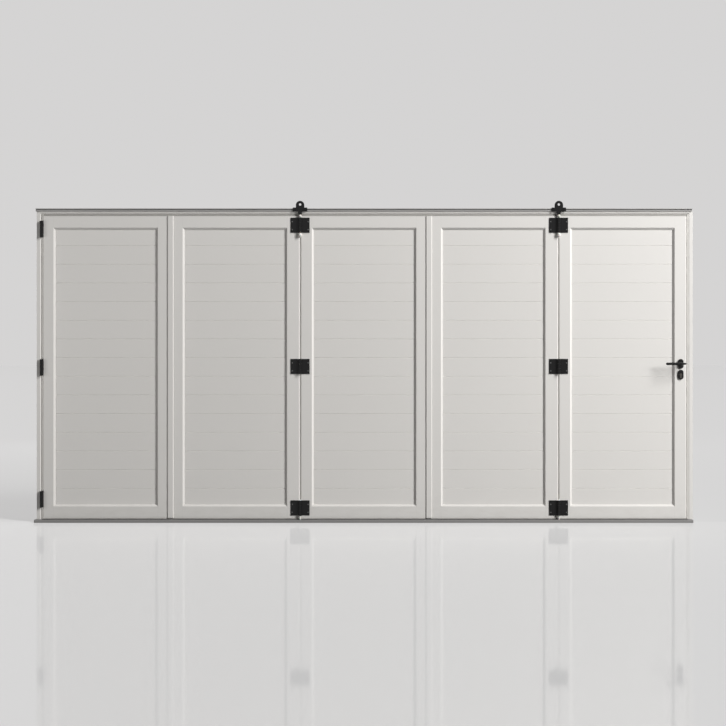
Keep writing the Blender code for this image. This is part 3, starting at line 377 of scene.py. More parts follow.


# Threshold
#
# Drawn aluminium too, anodised grey and finely ribbed on top, with a channel for the
# guide pins, its grey painted darker as painted shade against the light on its top. A strip of black
# rubber tread with five ribs is let into its top in front, and its black also stands in for the contact
# shadow in front of the leaves.

# The threshold's grey is painted darker than the metal's own: painted shade.
THRESHOLD_PAINTED_SHADE = 0.82
TREAD_FRONT = 0.0045
TREAD_BACK = 0.0195
TREAD_DEPTH = 0.001
TREAD_TOP = 0.0001
TREAD_RIBS = 5
RIB_RISE = 0.0002
RIB_FLANK = 0.2  # a share of the rib's width
coat("threshold", grey_anodised("grey anodised threshold with painted shade", THRESHOLD_PAINTED_SHADE))
sill_low, sill_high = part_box("threshold")
front, back = sill_low.y + TREAD_FRONT, sill_low.y + TREAD_BACK
under, over = sill_high.z - TREAD_DEPTH, sill_high.z + TREAD_TOP
rib = (back - front) / TREAD_RIBS
section = [(back, under), (front, under)]
for index in range(TREAD_RIBS):
    start = front + index * rib
    section.append((start, over))
    section.append((start + RIB_FLANK * rib, over + RIB_RISE))
    section.append((start + (1 - RIB_FLANK) * rib, over + RIB_RISE))
section.append((back, over))
ends = (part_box("leaf_1_frame")[0].x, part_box("leaf_5_frame")[1].x)
# The black tread also serves as painted shade, standing in for the contact shadow in front of the
# leaves.
fit(extruded("threshold_tread_with_painted_shade", section, "x", *ends), rubber, "frame")


# Seals
#
# Pale weather seals close the gaps round and between the leaves: a lip in the lock side, one in
# the hanging side between the hinges, one under the head, and a strip on leaves 3 and 5 where
# they meet the leaf before them. The one under the head is a darker grey, painted shade that stands in
# for the shade in that gap.

OPENING = 2.218  # from the middle to a jamb, in front of its stop
HEAD_FACE = 2.112  # the head's lower face, in front of its stop
SEAL_FOOT = 0.002  # clear of the threshold or of a leaf's end
SEAL_TOP = 0.001
HINGE_GAP = 0.003
HEAD_SEAL_LEFT = 0.010
HEAD_SEAL_RIGHT = 0.0125


def weather_seal(name, tone):
    """Extruded seal with a fine grain and patches of a duller tone."""
    made = Finish(name)
    grain = made.noise(800.0)
    cloud = made.noise(14.0, detail=3.0)
    return made.surface(
        Base_Color=made.blend(cloud, colour(1.0, 0.97, 0.92, tone), colour(0.86, 0.83, 0.78, tone)),
        Roughness=0.55 + cloud * 0.1,
        Normal=made.relief(grain, 0.0001, 0.5),
    )


seal = weather_seal("pale weather seal", 0.78)
side_seal = weather_seal("pale grey weather seal", 0.76)
# A darker grey copy of the seal: painted shade for the gap under the head.
shaded_grey_seal = weather_seal("grey weather seal", 0.46)
leaf_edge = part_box("leaf_5_frame")[1].x
leaf_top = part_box("leaf_5_frame")[1].z
leaf_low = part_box("leaf_5_frame")[0].z
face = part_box("leaf_5_frame")[0].y
threshold_top = sill_high.z

section = [
    (leaf_edge + 0.0004, face + 0.0100),
    (leaf_edge + 0.0004, face + 0.0048),
    (leaf_edge + 0.0022, face + 0.0030),
    (leaf_edge + 0.0060, face + 0.0020),
    (OPENING + 0.0030, face + 0.0010),
    (OPENING + 0.0068, face + 0.0003),
    (OPENING + 0.0070, face + 0.0006),
    (OPENING - 0.0002, face + 0.0074),
    (OPENING - 0.0002, face + 0.0100),
]
ends = (threshold_top + SEAL_FOOT, HEAD_FACE - SEAL_TOP)
fit(extruded("lock_side_seal", section, "z", *ends), seal, "frame")

section = [
    (-OPENING + 0.0002, face + 0.0175),
    (-OPENING + 0.0002, face + 0.0060),
    (-OPENING + 0.0014, face + 0.0030),
    (-OPENING + 0.0040, face + 0.0018),
    (-OPENING + 0.0085, face + 0.0013),
    (-OPENING + 0.0122, face + 0.0004),
    (-OPENING + 0.0146, face + 0.0001),
    (-OPENING + 0.0146, face + 0.0005),
    (-OPENING + 0.0098, face + 0.0050),
    (-OPENING + 0.0094, face + 0.0175),
]
levels = [threshold_top + SEAL_FOOT]
for level in ("bottom", "middle", "top"):
    low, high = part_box(f"hanging_hinge_{level}_jamb_half")
    levels += [low.z - HINGE_GAP, high.z + HINGE_GAP]
levels.append(HEAD_FACE - SEAL_TOP)
for number, ends in enumerate(zip(levels[::2], levels[1::2]), start=1):
    run = extruded(f"hanging_side_seal_{number}", section, "z", *ends)
    fit(run, side_seal, "frame")

section = [
    (face + 0.0050, leaf_top + 0.0012),
    (face + 0.0038, leaf_top + 0.0030),
    (face + 0.0034, leaf_top + 0.0060),
    (face + 0.0040, HEAD_FACE - 0.0012),
    (face + 0.0052, HEAD_FACE - 0.0001),
    (face + 0.0180, HEAD_FACE - 0.0001),
    (face + 0.0180, leaf_top + 0.0012),
]
ends = (-OPENING + HEAD_SEAL_LEFT, OPENING - HEAD_SEAL_RIGHT)
fit(extruded("head_seal", section, "x", *ends), shaded_grey_seal, "frame")

for number in (3, 5):
    line = FIRST_LINE + (number - 1) * LEAF_PITCH
    section = [
        (line + 0.0029, face + 0.0160),
        (line - 0.0020, face + 0.0140),
        (line - 0.0024, face + 0.0080),
        (line - 0.0014, face + 0.0045),
        (line + 0.0010, face + 0.0030),
        (line + 0.0050, face + 0.0014),
        (line + 0.0082, face + 0.0002),
        (line + 0.0084, face + 0.0001),
        (line + 0.0029, face + 0.0056),
    ]
    ends = (leaf_low + SEAL_FOOT, leaf_top - SEAL_FOOT)
    strip = extruded(f"leaf_{number}_edge_seal", section, "z", *ends)
    fit(strip, seal, f"leaf_{number}")


# Sweeps
#
# A pale moulded carrier runs along the lower edge of each leaf. It holds a black rubber lip that
# ends half a millimetre above the threshold.

carrier_grey = weather_seal("pale sweep carrier", 0.80)
for number in range(1, 6):
    low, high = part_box(f"leaf_{number}_frame")
    ends = (low.x + SEAL_FOOT, high.x - SEAL_FOOT)
    section = [
        (face + 0.0010, leaf_low - 0.0001),
        (face + 0.0006, leaf_low - 0.0010),
        (face + 0.0010, leaf_low - 0.0064),
        (face + 0.0180, leaf_low - 0.0064),
        (face + 0.0180, leaf_low - 0.0001),
    ]
    carrier = extruded(f"leaf_{number}_sweep_carrier", section, "x", *ends)
    fit(carrier, carrier_grey, f"leaf_{number}")
    section = [
        (face + 0.0030, leaf_low - 0.0065),
        (face + 0.0012, threshold_top + 0.0014),
        (face + 0.0012, threshold_top + 0.0005),
        (face + 0.0040, threshold_top + 0.0005),
        (face + 0.0070, leaf_low - 0.0065),
    ]
    lip = extruded(f"leaf_{number}_sweep", section, "x", *ends)
    fit(lip, rubber, f"leaf_{number}")


# Face hinges on the second and the fourth fold
#
# Three hinges hold each of these folds from outside, with two zinc-plated screws in each half. All
# the door's hinges are pressed steel, powder coated black, with a few paler flecks in the coating.


def powder_coat(name, roughness):
    made = Finish(name)
    peel = made.noise(520.0)
    cloud = made.noise(18.0, detail=4.0)
    fleck = made.ramp(made.noise(240.0), 0.66, 0.80)
    base = made.blend(cloud * 0.6, colour(0.006, 0.006, 0.0065), colour(0.014, 0.0135, 0.013))
    return made.surface(
        Base_Color=made.blend(fleck * 0.25, base, colour(0.06, 0.06, 0.06)),
        Roughness=roughness + cloud * 0.14,
        Specular_IOR_Level=0.32,
        Normal=made.relief(peel, 0.00012, 0.55),
    )


hinge_black = powder_coat("black powder coat on hinges", 0.34)
for node in door:
    if "hinge" in node:
        coat(node, hinge_black)


def zinc_plate():
    made = Finish("zinc plate on screws")
    spangle = made.add("ShaderNodeTexVoronoi", {}, {"Vector": made.place, "Scale": 700.0})
    cloud = made.noise(160.0)
    share = spangle * 0.7 + cloud * 0.3
    return made.surface(
        Base_Color=made.blend(share, colour(0.10, 0.10, 0.10), colour(0.19, 0.19, 0.185)),
        Roughness=0.30 + cloud * 0.2,
        Metallic=0.30,
        Normal=made.relief(spangle, 0.00004, 0.4),
    )


SCREW_SIDES = 20
SCREW_SEED = 7
HEAD_TAPER = 0.66
CROSS_LENGTH = 1.15  # this and the width are shares of the head's radius
CROSS_WIDTH = 0.26
CROSS_DEPTH = 1.2  # this and the lift are shares of the head's height
CROSS_LIFT = 0.95


def screw_tree(material):
    """Geometry nodes that put a cross-head screw on every point, facing the way that the point says."""
    tree = bpy.data.node_groups.new("cross-head screws", "GeometryNodeTree")
    tree.interface.new_socket("Points", in_out="INPUT", socket_type="NodeSocketGeometry")
    for name, size in (("Head Radius", 0.0045), ("Head Height", 0.0012), ("Cross Width", 0.0011)):
        socket = tree.interface.new_socket(name, in_out="INPUT", socket_type="NodeSocketFloat")
        socket.default_value = size
    seed = tree.interface.new_socket("Seed", in_out="INPUT", socket_type="NodeSocketInt")
    seed.default_value = SCREW_SEED
    tree.interface.new_socket("Screws", in_out="OUTPUT", socket_type="NodeSocketGeometry")
    sizes = tree.nodes.new("NodeGroupInput")

    def add(kind, settings, values):
        node = tree.nodes.new(kind)
        for name, value in settings.items():
            setattr(node, name, value)
        for name, value in values.items():
            if hasattr(value, "is_output"):
                tree.links.new(value, node.inputs[name])
            else:
                node.inputs[name].default_value = value
        return node

    def product(first, second):
        return add("ShaderNodeMath", {"operation": "MULTIPLY"}, {0: first, 1: second}).outputs[0]

    radius = sizes.outputs["Head Radius"]
    height = sizes.outputs["Head Height"]
    width = sizes.outputs["Cross Width"]
    values = {"Vertices": SCREW_SIDES, "Radius Bottom": radius, "Depth": height}
    values["Radius Top"] = product(radius, HEAD_TAPER)
    head = add("GeometryNodeMeshCone", {}, values)
    cutter = add("GeometryNodeMeshBoolean", {"operation": "UNION", "solver": "EXACT"}, {})
    length = product(radius, CROSS_LENGTH)
    depth = product(height, CROSS_DEPTH)
    lift = add("ShaderNodeCombineXYZ", {}, {2: product(height, CROSS_LIFT)})
    bars = []
    for sides in ((length, width, depth), (width, length, depth)):
        size = add("ShaderNodeCombineXYZ", {}, dict(enumerate(sides)))
        bar = add("GeometryNodeMeshCube", {}, {"Size": size.outputs[0]})
        values = {"Geometry": bar.outputs[0], "Translation": lift.outputs[0]}
        bars.append(add("GeometryNodeTransform", {}, values))
    for bar in bars:
        tree.links.new(bar.outputs[0], cutter.inputs["Mesh 2"])
    settings = {"operation": "DIFFERENCE", "solver": "EXACT"}
    crossed = add("GeometryNodeMeshBoolean", settings, {"Mesh 1": head.outputs[0]})
    tree.links.new(cutter.outputs[0], crossed.inputs["Mesh 2"])
    settings = {"data_type": "FLOAT_VECTOR"}
    outward = add("GeometryNodeInputNamedAttribute", settings, {"Name": "outward"})
    values = {"Vector": outward.outputs["Attribute"]}
    aligned = add("FunctionNodeAlignRotationToVector", {"axis": "Z"}, values)
    values = {2: 0.0, 3: math.pi / 2, "Seed": sizes.outputs["Seed"]}
    turn = add("FunctionNodeRandomValue", {"data_type": "FLOAT"}, values)
    values = {"Axis": (0.0, 0.0, 1.0), "Angle": turn.outputs[1]}
    spin = add("FunctionNodeAxisAngleToRotation", {}, values)
    values = {"Rotation": aligned.outputs[0], "Rotate By": spin.outputs[0]}
    turned = add("FunctionNodeRotateRotation", {"rotation_space": "LOCAL"}, values)
    values = {"Points": sizes.outputs["Points"], "Instance": crossed.outputs[0]}
    values["Rotation"] = turned.outputs[0]
    placed = add("GeometryNodeInstanceOnPoints", {}, values)
    real = add("GeometryNodeRealizeInstances", {}, {"Geometry": placed.outputs[0]})
    values = {"Geometry": real.outputs[0], "Material": material}
    painted = add("GeometryNodeSetMaterial", {}, values)
    end = tree.nodes.new("NodeGroupOutput")
    tree.links.new(painted.outputs[0], end.inputs[0])
    return tree


def drive_screws(name, body, places, outward, tree, head):
    """Screws at places, all facing outward and fixed to one body. A head has a radius and a height."""
    mesh = bpy.data.meshes.new(name)
    mesh.from_pydata(places, [], [])
    facing = mesh.attributes.new("outward", "FLOAT_VECTOR", "POINT")
    for point in facing.data:
        point.vector = outward
    seat = bpy.data.objects.new(f"{name}_seats", mesh)
    bpy.context.scene.collection.objects.link(seat)
    screws = seat.modifiers.new("screws", "NODES")
    screws.node_group = tree
    radius, height = head
    sizes = {"Head Radius": radius, "Head Height": height, "Cross Width": radius * CROSS_WIDTH}
    for item in tree.interface.items_tree:
        if item.item_type == "SOCKET" and item.name in sizes:
            screws[item.identifier] = sizes[item.name]
    bpy.context.view_layer.update()
    graph = bpy.context.evaluated_depsgraph_get()
    plain = bpy.data.meshes.new_from_object(seat.evaluated_get(graph), depsgraph=graph)
    seat.modifiers.remove(screws)
    bpy.data.objects.remove(seat, do_unlink=True)
    made = bpy.data.objects.new(name, plain)
    bpy.context.scene.collection.objects.link(made)
    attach(made, body)


TO_FRONT = (0.0, -1.0, 0.0)
TO_BACK = (0.0, 1.0, 0.0)
FACE_SCREW = (0.0049, 0.0013)  # the head's radius and height, as for every kind of screw below
FACE_SCREW_EDGE = 0.010
FACE_SCREW_SPACING = 0.055
FACE_SCREW_DROP = 0.0035
FACE_PLATE = 0.0050
zinc_screws = screw_tree(zinc_plate())
for line in (2, 4):
    for side, label, leaf in ((-1, "left", line), (1, "right", line + 1)):
        places = []
        for level in ("top", "middle", "bottom"):
            low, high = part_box(f"fold_{line}_hinge_{level}_{label}")
            edge = low.x if side < 0 else high.x
            middle = (low.z + high.z) / 2 - FACE_SCREW_DROP
            for step in (-FACE_SCREW_SPACING / 2, FACE_SCREW_SPACING / 2):
                places.append((edge - side * FACE_SCREW_EDGE, face - FACE_PLATE, middle + step))
        name = f"fold_{line}_screws_{label}"
        drive_screws(name, f"leaf_{leaf}", places, TO_FRONT, zinc_screws, FACE_SCREW)


# Long hinges on the first and the third fold
#
# One long hinge runs up each of these folds on the inside. Twelve screws hold each half, near to
# the edge and far from it by turns, so that the timber doesn't split.

REAR_SCREW = (0.0042, 0.0010)
REAR_SCREWS = 12
REAR_INSETS = (0.026, 0.012)
REAR_END = 0.04
REAR_PLATE = 0.0043
for line in (1, 3):
    for side, label, leaf in ((-1, "left", line), (1, "right", line + 1)):
        low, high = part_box(f"fold_{line}_hinge_{label}")
        edge = low.x if side < 0 else high.x
        step = (high.z - low.z - 2 * REAR_END) / (REAR_SCREWS - 1)
        places = []
        for index in range(REAR_SCREWS):
            across = edge - side * REAR_INSETS[index % 2]
            places.append((across, -face + REAR_PLATE, low.z + REAR_END + index * step))
        name = f"fold_{line}_screws_{label}"
        drive_screws(name, f"leaf_{leaf}", places, TO_BACK, zinc_screws, REAR_SCREW)


# Butt hinges on the hanging side
#
# Three butt hinges carry leaf 1 on the left jamb. Each half has four countersunk screws, which
# show when the leaf swings open.

BUTT_SCREW = (0.0038, 0.0006)
BUTT_SEATS = ((-0.042, 0.026), (-0.014, 0.012), (0.014, 0.026), (0.042, 0.012))  # height and depth
BUTT_PLATE = 0.0034
jamb_side = -OPENING + BUTT_PLATE
leaf_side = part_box("leaf_1_frame")[0].x - BUTT_PLATE
for half, body, surface, outward in (
    ("jamb", "frame", jamb_side, (1, 0, 0)),
    ("leaf", "leaf_1", leaf_side, (-1, 0, 0)),
):
    places = []
    for level in ("bottom", "middle", "top"):
        low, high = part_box(f"hanging_hinge_{level}_{half}_half")
        middle = (low.z + high.z) / 2
        for step, depth in BUTT_SEATS:
            places.append((surface, face + depth, middle + step))
    name = f"hanging_screws_{half}"
    drive_screws(name, body, places, outward, zinc_screws, BUTT_SCREW)


# Trolleys and guide pins
#
# The carriages are cut from steel plate and powder coated. Their rollers, and the ball and drop
# on the hanger pins, are white nylon, turned from rod. The guide pins are nylon too.


def turned_nylon():
    made = Finish("turned white nylon")
    rings = made.noise(30.0, (1.0, 1.0, 60.0))
    cloud = made.noise(60.0)
    return made.surface(
        Base_Color=made.blend(cloud * 0.6, colour(0.82, 0.81, 0.775), colour(0.74, 0.725, 0.68)),
        Roughness=0.30 + cloud * 0.12,
        Subsurface_Weight=0.12,
        Subsurface_Scale=0.003,
        Normal=made.relief(rings, 0.0001, 0.5),
    )


carriage_black = powder_coat("black powder coat on trolleys", 0.36)
nylon = turned_nylon()
for node in door:
    if node.endswith("_carriage"):
        coat(node, carriage_black)
    if "roller" in node or "hanger_pin" in node or node.startswith("guide_pin"):
        coat(node, nylon)

AXLE_SCREW = (0.0065, 0.0020)
AXLE_SPREAD = 0.032
SEAT_LIFT = 0.0003
carriage_screws = screw_tree(carriage_black)
for line in (2, 4):
    low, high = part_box(f"trolley_{line}_carriage")
    roller_low, roller_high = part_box(f"trolley_{line}_roller_left")
    middle = (low.x + high.x) / 2
    level = (roller_low.z + roller_high.z) / 2
    places = [(middle + side * AXLE_SPREAD, low.y - SEAT_LIFT, level) for side in (-1, 1)]
    name = f"trolley_{line}_axle_screws"
    body = f"trolley_{line}"
    drive_screws(name, body, places, TO_FRONT, carriage_screws, AXLE_SCREW)


# Levers, rose, escutcheon, long plate and thumb turn
#
# Zinc castings with a satin black finish. Each lever has a short pointed heel past its spindle,
# the outer one turns in a collar on the rose, and two screws hold the long plate inside.

handle_black = powder_coat("satin black on handles", 0.28)
for node in ("lever_outer", "rose_outer", "escutcheon_outer"):
    coat(node, handle_black)
for node in ("lever_inner", "backplate_inner", "thumb_turn"):
    coat(node, handle_black)


def turned_ring(name, centre, profile, sides):
    """A ring about a level axis along y. Its profile is (radius, y) all the way round."""
    solid = bmesh.new()
    rings = []
    for index in range(sides):
        angle = math.tau * index / sides
        ring = []
        for radius, y in profile:
            across = centre[0] + radius * math.cos(angle)
            ring.append(solid.verts.new((across, y, centre[1] + radius * math.sin(angle))))
        rings.append(ring)
    for ring, following in zip(rings, rings[1:] + rings[:1]):
        for step in range(len(profile)):
            beside = (step + 1) % len(profile)
            solid.faces.new((ring[step], ring[beside], following[beside], following[step]))
    made = new_piece(name, solid)
    made.data.shade_smooth()
    made.data.set_sharp_from_angle(angle=math.radians(35))
    return made


COLLAR_SIDES = 40
rose_low, rose_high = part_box("rose_outer")
spindle = ((rose_low.x + rose_high.x) / 2, (rose_low.z + rose_high.z) / 2)
front = rose_low.y
profile = [
    (0.0092, front - 0.0002),
    (0.0140, front - 0.0002),
    (0.0142, front - 0.0014),
    (0.0132, front - 0.0032),
    (0.0116, front - 0.0042),
    (0.0092, front - 0.0044),
]
collar = turned_ring("lever_collar", spindle, profile, COLLAR_SIDES)
fit(collar, handle_black, "leaf_5")

PLATE_SCREW = (0.0040, 0.0014)
PLATE_SCREW_END = 0.011
low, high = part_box("backplate_inner")
middle = (low.x + high.x) / 2
levels = (low.z + PLATE_SCREW_END, high.z - PLATE_SCREW_END)
places = [(middle, high.y + SEAT_LIFT, level) for level in levels]
handle_screws = screw_tree(handle_black)
name = "backplate_screws"
drive_screws(name, "leaf_5", places, TO_BACK, handle_screws, PLATE_SCREW)

HEEL_SHIFT = 0.008
HEEL_REACH = 0.017
HEEL_RADIUS = 0.0090
HEEL_TAPER = 0.45
HEEL_SIDES = 24
HEEL_ROWS = 16
LEVER_HALF = 0.0091


def lever_heel(name, y):
    """The short pointed heel of a lever: a ball drawn out along x, past the spindle."""
    solid = bmesh.new()
    rings = []
    for row in range(HEEL_ROWS + 1):
        slope = math.pi * row / HEEL_ROWS
        along = -math.cos(slope)
        x = spindle[0] + HEEL_SHIFT + HEEL_REACH * along
        radius = HEEL_RADIUS * (1 - HEEL_TAPER * (along + 1) / 2) * math.sin(slope)
        ring = []
        for index in range(HEEL_SIDES if 0 < row < HEEL_ROWS else 1):
            angle = math.tau * index / HEEL_SIDES
            place = (x, y + radius * math.cos(angle), spindle[1] + radius * math.sin(angle))
            ring.append(solid.verts.new(place))
        rings.append(ring)
    for ring, following in zip(rings, rings[1:]):
        for index in range(HEEL_SIDES):
            near = [ring[index % len(ring)], ring[(index + 1) % len(ring)]]
            far = [following[(index + 1) % len(following)], following[index % len(following)]]
            solid.faces.new(list(dict.fromkeys(near + far)))  # a pole of the ball counts once
    made = new_piece(name, solid)
    made.data.shade_smooth()
    return made


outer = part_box("lever_outer")[0].y + LEVER_HALF
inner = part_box("lever_inner")[1].y - LEVER_HALF
for label, y in (("outer", outer), ("inner", inner)):
    fit(lever_heel(f"lever_{label}_heel", y), handle_black, "lever")


# Lock and strike plate
#
# A mortice lock with a brushed steel case and bolts. Its steel forend is screwed to the edge of
# leaf 5 round both bolts, and the strike plate to the right jamb.


def brushed_steel():
    made = Finish("brushed steel")
    brush = made.noise(12.0, (60.0, 60.0, 0.8), 3.0, 0.7)
    cloud = made.noise(70.0)
    return made.surface(
        Base_Color=made.blend(brush * 0.7, colour(0.40, 0.40, 0.41), colour(0.55, 0.55, 0.55)),
        Roughness=0.26 + brush * 0.16 + cloud * 0.06,
        Metallic=1.0,
        Normal=made.relief(brush, 0.00005, 0.5),
    )


steel = brushed_steel()
for node in ("strike_plate", "lock_case", "latch_bolt", "dead_bolt"):
    coat(node, steel)

STRIKE_SCREW = (0.0040, 0.0006)
STRIKE_SCREW_END = 0.009
STEEL_SEAT_LIFT = 0.0001
low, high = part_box("strike_plate")
levels = (low.z + STRIKE_SCREW_END, high.z - STRIKE_SCREW_END)
places = [(low.x - STEEL_SEAT_LIFT, 0.0, level) for level in levels]
steel_screws = screw_tree(steel)
name = "strike_screws"
drive_screws(name, "frame", places, (-1, 0, 0), steel_screws, STRIKE_SCREW)


def pierced_plate(name, layers, across, up, holes):
    """A flat plate between two values of x. Its cells lie between the cuts, and holes stay open."""
    solid = bmesh.new()
    corners = {}
    for side, x in enumerate(layers):
        for column, y in enumerate(across):
            for row, z in enumerate(up):
                corners[side, column, row] = solid.verts.new((x, y, z))
    edges = {}
    for column in range(len(across) - 1):
        for row in range(len(up) - 1):
            if (column, row) in holes:
                continue
            loop = [(column, row), (column + 1, row), (column + 1, row + 1), (column, row + 1)]
            for side in (0, 1):
                solid.faces.new([corners[side, *spot] for spot in loop])
            for first, second in zip(loop, loop[1:] + loop[:1]):
                edges.setdefault(frozenset((first, second)), []).append((first, second))
    for uses in edges.values():
        if len(uses) == 1:
            first, second = uses[0]
            rim = [corners[0, *first], corners[0, *second], corners[1, *second], corners[1, *first]]
            solid.faces.new(rim)
    return new_piece(name, solid)


FOREND_LAYERS = (0.0001, 0.0016)  # its two faces, from the leaf's edge
FOREND_HALF = 0.011
FOREND_PAST_CASE = 0.030
BOLT_SLACK = 0.0006
FOREND_SCREW = (0.0036, 0.0008)
FOREND_SCREW_PAST_CASE = 0.018
latch_low, latch_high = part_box("latch_bolt")
dead_low, dead_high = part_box("dead_bolt")
case_low, case_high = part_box("lock_case")
layers = [leaf_edge + layer for layer in FOREND_LAYERS]
across = [-FOREND_HALF, latch_low.y - BOLT_SLACK, latch_high.y + BOLT_SLACK, FOREND_HALF]
up = [
    case_low.z - FOREND_PAST_CASE,
    dead_low.z - BOLT_SLACK,
    dead_high.z + BOLT_SLACK,
    latch_low.z - BOLT_SLACK,
    latch_high.z + BOLT_SLACK,
    case_high.z + FOREND_PAST_CASE,
]
forend = pierced_plate("lock_forend", layers, across, up, {(1, 1), (1, 3)})
fit(forend, steel, "leaf_5")
levels = (case_low.z - FOREND_SCREW_PAST_CASE, case_high.z + FOREND_SCREW_PAST_CASE)
places = [(layers[1] + STEEL_SEAT_LIFT, 0.0, level) for level in levels]
name = "forend_screws"
drive_screws(name, "leaf_5", places, (1, 0, 0), steel_screws, FOREND_SCREW)


# Key cylinder
#
# A brass cylinder that has darkened, with a round plug in its outer face. The plug is turned from
# the same brass and has a keyway cut into it from below.


def dark_brass():
    made = Finish("darkened brass")
    turning = made.noise(40.0, (1.0, 90.0, 1.0))
    cloud = made.noise(120.0)
    return made.surface(
        Base_Color=made.blend(cloud * 0.7, colour(0.085, 0.078, 0.070), colour(0.14, 0.128, 0.11)),
        Roughness=0.34 + turning * 0.14,
        Metallic=0.4,
        Normal=made.relief(turning, 0.00005, 0.5),
    )


PLUG_RADIUS = 0.0060
PLUG_STEPS = 24
PLUG_FACES = (0.0008, 0.0001)  # in front of the cylinder's own face
KEYWAY_HALF = 0.0008
KEYWAY_END = 0.0030  # above the plug's centre
brass = dark_brass()
coat("key_cylinder", brass)
low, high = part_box("key_cylinder")
plug_x = (low.x + high.x) / 2
plug_z = high.z - (high.x - low.x) / 2
keyway = math.asin(KEYWAY_HALF / PLUG_RADIUS)
outline = []
for index in range(PLUG_STEPS + 1):
    angle = keyway - math.pi / 2 + (math.tau - 2 * keyway) * index / PLUG_STEPS
    outline.append((plug_x + PLUG_RADIUS * math.cos(angle), plug_z + PLUG_RADIUS * math.sin(angle)))
outline.append((plug_x - KEYWAY_HALF, plug_z + KEYWAY_END))
outline.append((plug_x + KEYWAY_HALF, plug_z + KEYWAY_END))
ends = [low.y - proud for proud in PLUG_FACES]
fit(extruded("key_plug", outline, "y", *ends), brass, "leaf_5")


# The studio
#
# A pale satin floor runs on past the horizon under a plain pale backdrop. Two large soft lamps
# stand on the right, weak ones on the left and behind. The floor glows less where a lamp lights
# it, so that it looks evenly pale and keeps the door's shadow.

BACKDROP = colour(0.665, 0.658, 0.656)
FILL = colour(1.0, 0.99, 0.97)
FILL_STRENGTH = 0.012
FLOOR_SHADE = 0.42
FLOOR_BOUNCE = 0.10
FLOOR_GLOSS = 0.20
FLOOR_ROUGHNESS = 0.055
GLOW_LOSS = 0.92
FLOOR_REACH = 400.0
FLOOR_LEVEL = -0.001
LIT_POINT = (0.3, 0.0, 1.1)
LAMPS = {
    "key_lamp": {"place": (8.0, -6.0, 7.0), "size": (2.6, 7.0), "watts": 1460.0},
    "low_key_lamp": {"place": (9.6, -6.5, 3.4), "size": (3.0, 2.0), "watts": 250.0},
    "side_lamp": {"place": (-4.8, -1.9, 1.5), "size": (1.2, 1.2), "watts": 24.0},
    "back_lamp": {"place": (-1.0, 8.5, 3.0), "size": (4.0, 1.8), "watts": 200.0},
}


def lamp_share(made, place, watts):
    """How bright one lamp alone makes the floor, as a share of the backdrop."""
    aim = [end - start for start, end in zip(place, LIT_POINT)]
    aim = [part / math.hypot(*aim) for part in aim]
    ray = made.add("ShaderNodeVectorMath", {"operation": "SUBTRACT"}, [made.place, place])
    facing = made.add("ShaderNodeVectorMath", {"operation": "DOT_PRODUCT"}, [ray, aim], 1)
    away = made.add("ShaderNodeVectorMath", {"operation": "LENGTH"}, [ray], 1)
    strength = FLOOR_SHADE * watts * place[2] / (math.pi ** 2 * BACKDROP[0])
    return facing.larger(0.0) * strength / away ** 4.0


def studio_floor():
    """The back lamp counts only behind the door, which keeps its light off the floor in front."""
    made = Finish("pale studio floor")
    seen = made.add("ShaderNodeLightPath", {}, {}, "Is Camera Ray")
    mirrored = made.add("ShaderNodeLightPath", {}, {}, "Is Glossy Ray")
    lit = 0.0
    for name, lamp in LAMPS.items():
        share = lamp_share(made, lamp["place"], lamp["watts"])
        if name == "back_lamp":
            share = share * (made.y > 0.0)
        lit = share + lit
    lift = (1 - lit * GLOW_LOSS).larger(0.0)
    shade = (FLOOR_BOUNCE + seen * (FLOOR_SHADE - FLOOR_BOUNCE)) / lit.larger(1.0)
    matt = made.add("ShaderNodeBsdfDiffuse", {}, {"Color": shade})
    values = {"Color": BACKDROP, "Strength": seen.larger(mirrored) * lift}
    glow = made.add("ShaderNodeEmission", {}, values)
    values = {"Color": colour(1.0, 1.0, 1.0), "Roughness": FLOOR_ROUGHNESS}
    gloss = made.add("ShaderNodeBsdfGlossy", {}, values)
    plain = made.add("ShaderNodeAddShader", {}, [matt, glow])
    polished = made.add("ShaderNodeMixShader", {}, [FLOOR_GLOSS, plain, gloss])
    made.add("ShaderNodeOutputMaterial", {}, {"Surface": polished})
    return made.material


mesh = bpy.data.meshes.new("studio_floor")
quarters = ((-1, -1), (1, -1), (1, 1), (-1, 1))
corners = [(FLOOR_REACH * x, FLOOR_REACH * y, FLOOR_LEVEL) for x, y in quarters]
mesh.from_pydata(corners, [], [(0, 1, 2, 3)])
mesh.materials.append(studio_floor())
floor = bpy.data.objects.new("studio_floor", mesh)
bpy.context.scene.collection.objects.link(floor)


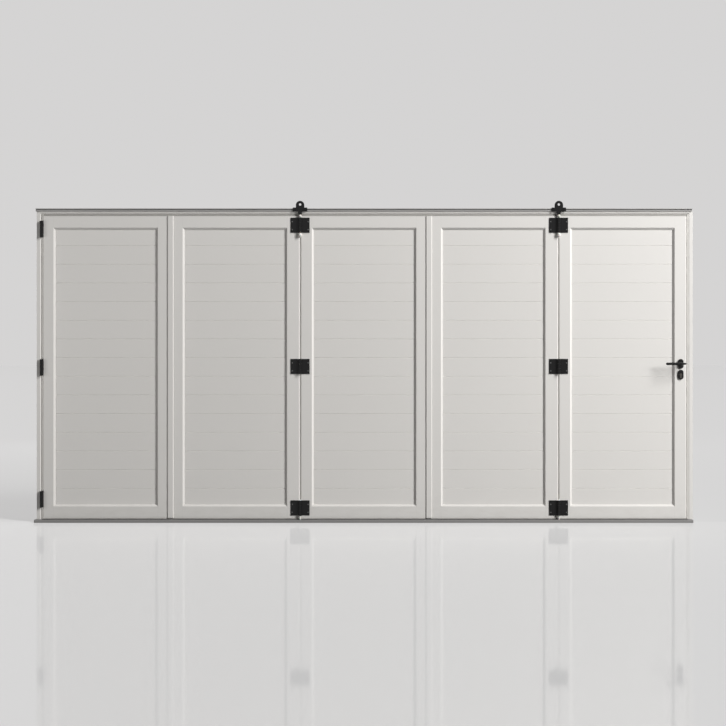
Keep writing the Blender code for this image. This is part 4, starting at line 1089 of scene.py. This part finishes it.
def studio_world():
    """A dim light from all round, which the camera, gloss and glass see as the pale backdrop."""
    world = bpy.data.worlds.new("studio")
    world.use_nodes = True
    nodes, links = world.node_tree.nodes, world.node_tree.links
    nodes.clear()
    path = nodes.new("ShaderNodeLightPath")
    seen = path.outputs["Is Camera Ray"]
    for name in ("Is Glossy Ray", "Is Transmission Ray"):
        either = nodes.new("ShaderNodeMath")
        either.operation = "MAXIMUM"
        links.new(seen, either.inputs[0])
        links.new(path.outputs[name], either.inputs[1])
        seen = either.outputs[0]
    mixed = nodes.new("ShaderNodeMixShader")
    links.new(seen, mixed.inputs[0])
    for index, (shade, strength) in enumerate(((FILL, FILL_STRENGTH), (BACKDROP, 1.0)), start=1):
        light = nodes.new("ShaderNodeBackground")
        light.inputs["Color"].default_value = shade
        light.inputs["Strength"].default_value = strength
        links.new(light.outputs[0], mixed.inputs[index])
    links.new(mixed.outputs[0], nodes.new("ShaderNodeOutputWorld").inputs[0])
    return world


bpy.context.scene.world = studio_world()


def soft_lamp(name, place, size, watts):
    """A large lamp that faces the door. Neither the camera nor a gloss shows the lamp itself."""
    light = bpy.data.lights.new(name, "AREA")
    light.shape = "RECTANGLE"
    light.size, light.size_y = size
    light.energy = watts
    lamp = bpy.data.objects.new(name, light)
    lamp.location = place
    aim = [end - start for start, end in zip(place, LIT_POINT)]
    flat = math.hypot(aim[0], aim[1])
    lamp.rotation_euler = (math.atan2(flat, -aim[2]), 0.0, math.atan2(-aim[0], aim[1]))
    lamp.visible_camera = False
    lamp.visible_glossy = False
    bpy.context.scene.collection.objects.link(lamp)


for name, lamp in LAMPS.items():
    soft_lamp(name, **lamp)

CAMERA_PLACE = (-0.0122, -7.772, 1.0908)
LENS_LENGTH = 56.03  # millimetres, as the sensor's width
SENSOR_WIDTH = 36.0
CLIP_END = 1000.0
lens = bpy.data.cameras.new("studio_camera")
lens.lens = LENS_LENGTH
lens.sensor_width = SENSOR_WIDTH
lens.clip_end = CLIP_END
camera = bpy.data.objects.new("studio_camera", lens)
camera.location = CAMERA_PLACE
camera.rotation_euler = (math.pi / 2, 0.0, 0.0)
bpy.context.scene.collection.objects.link(camera)
bpy.context.scene.camera = camera
bpy.context.scene.view_settings.view_transform = "Standard"
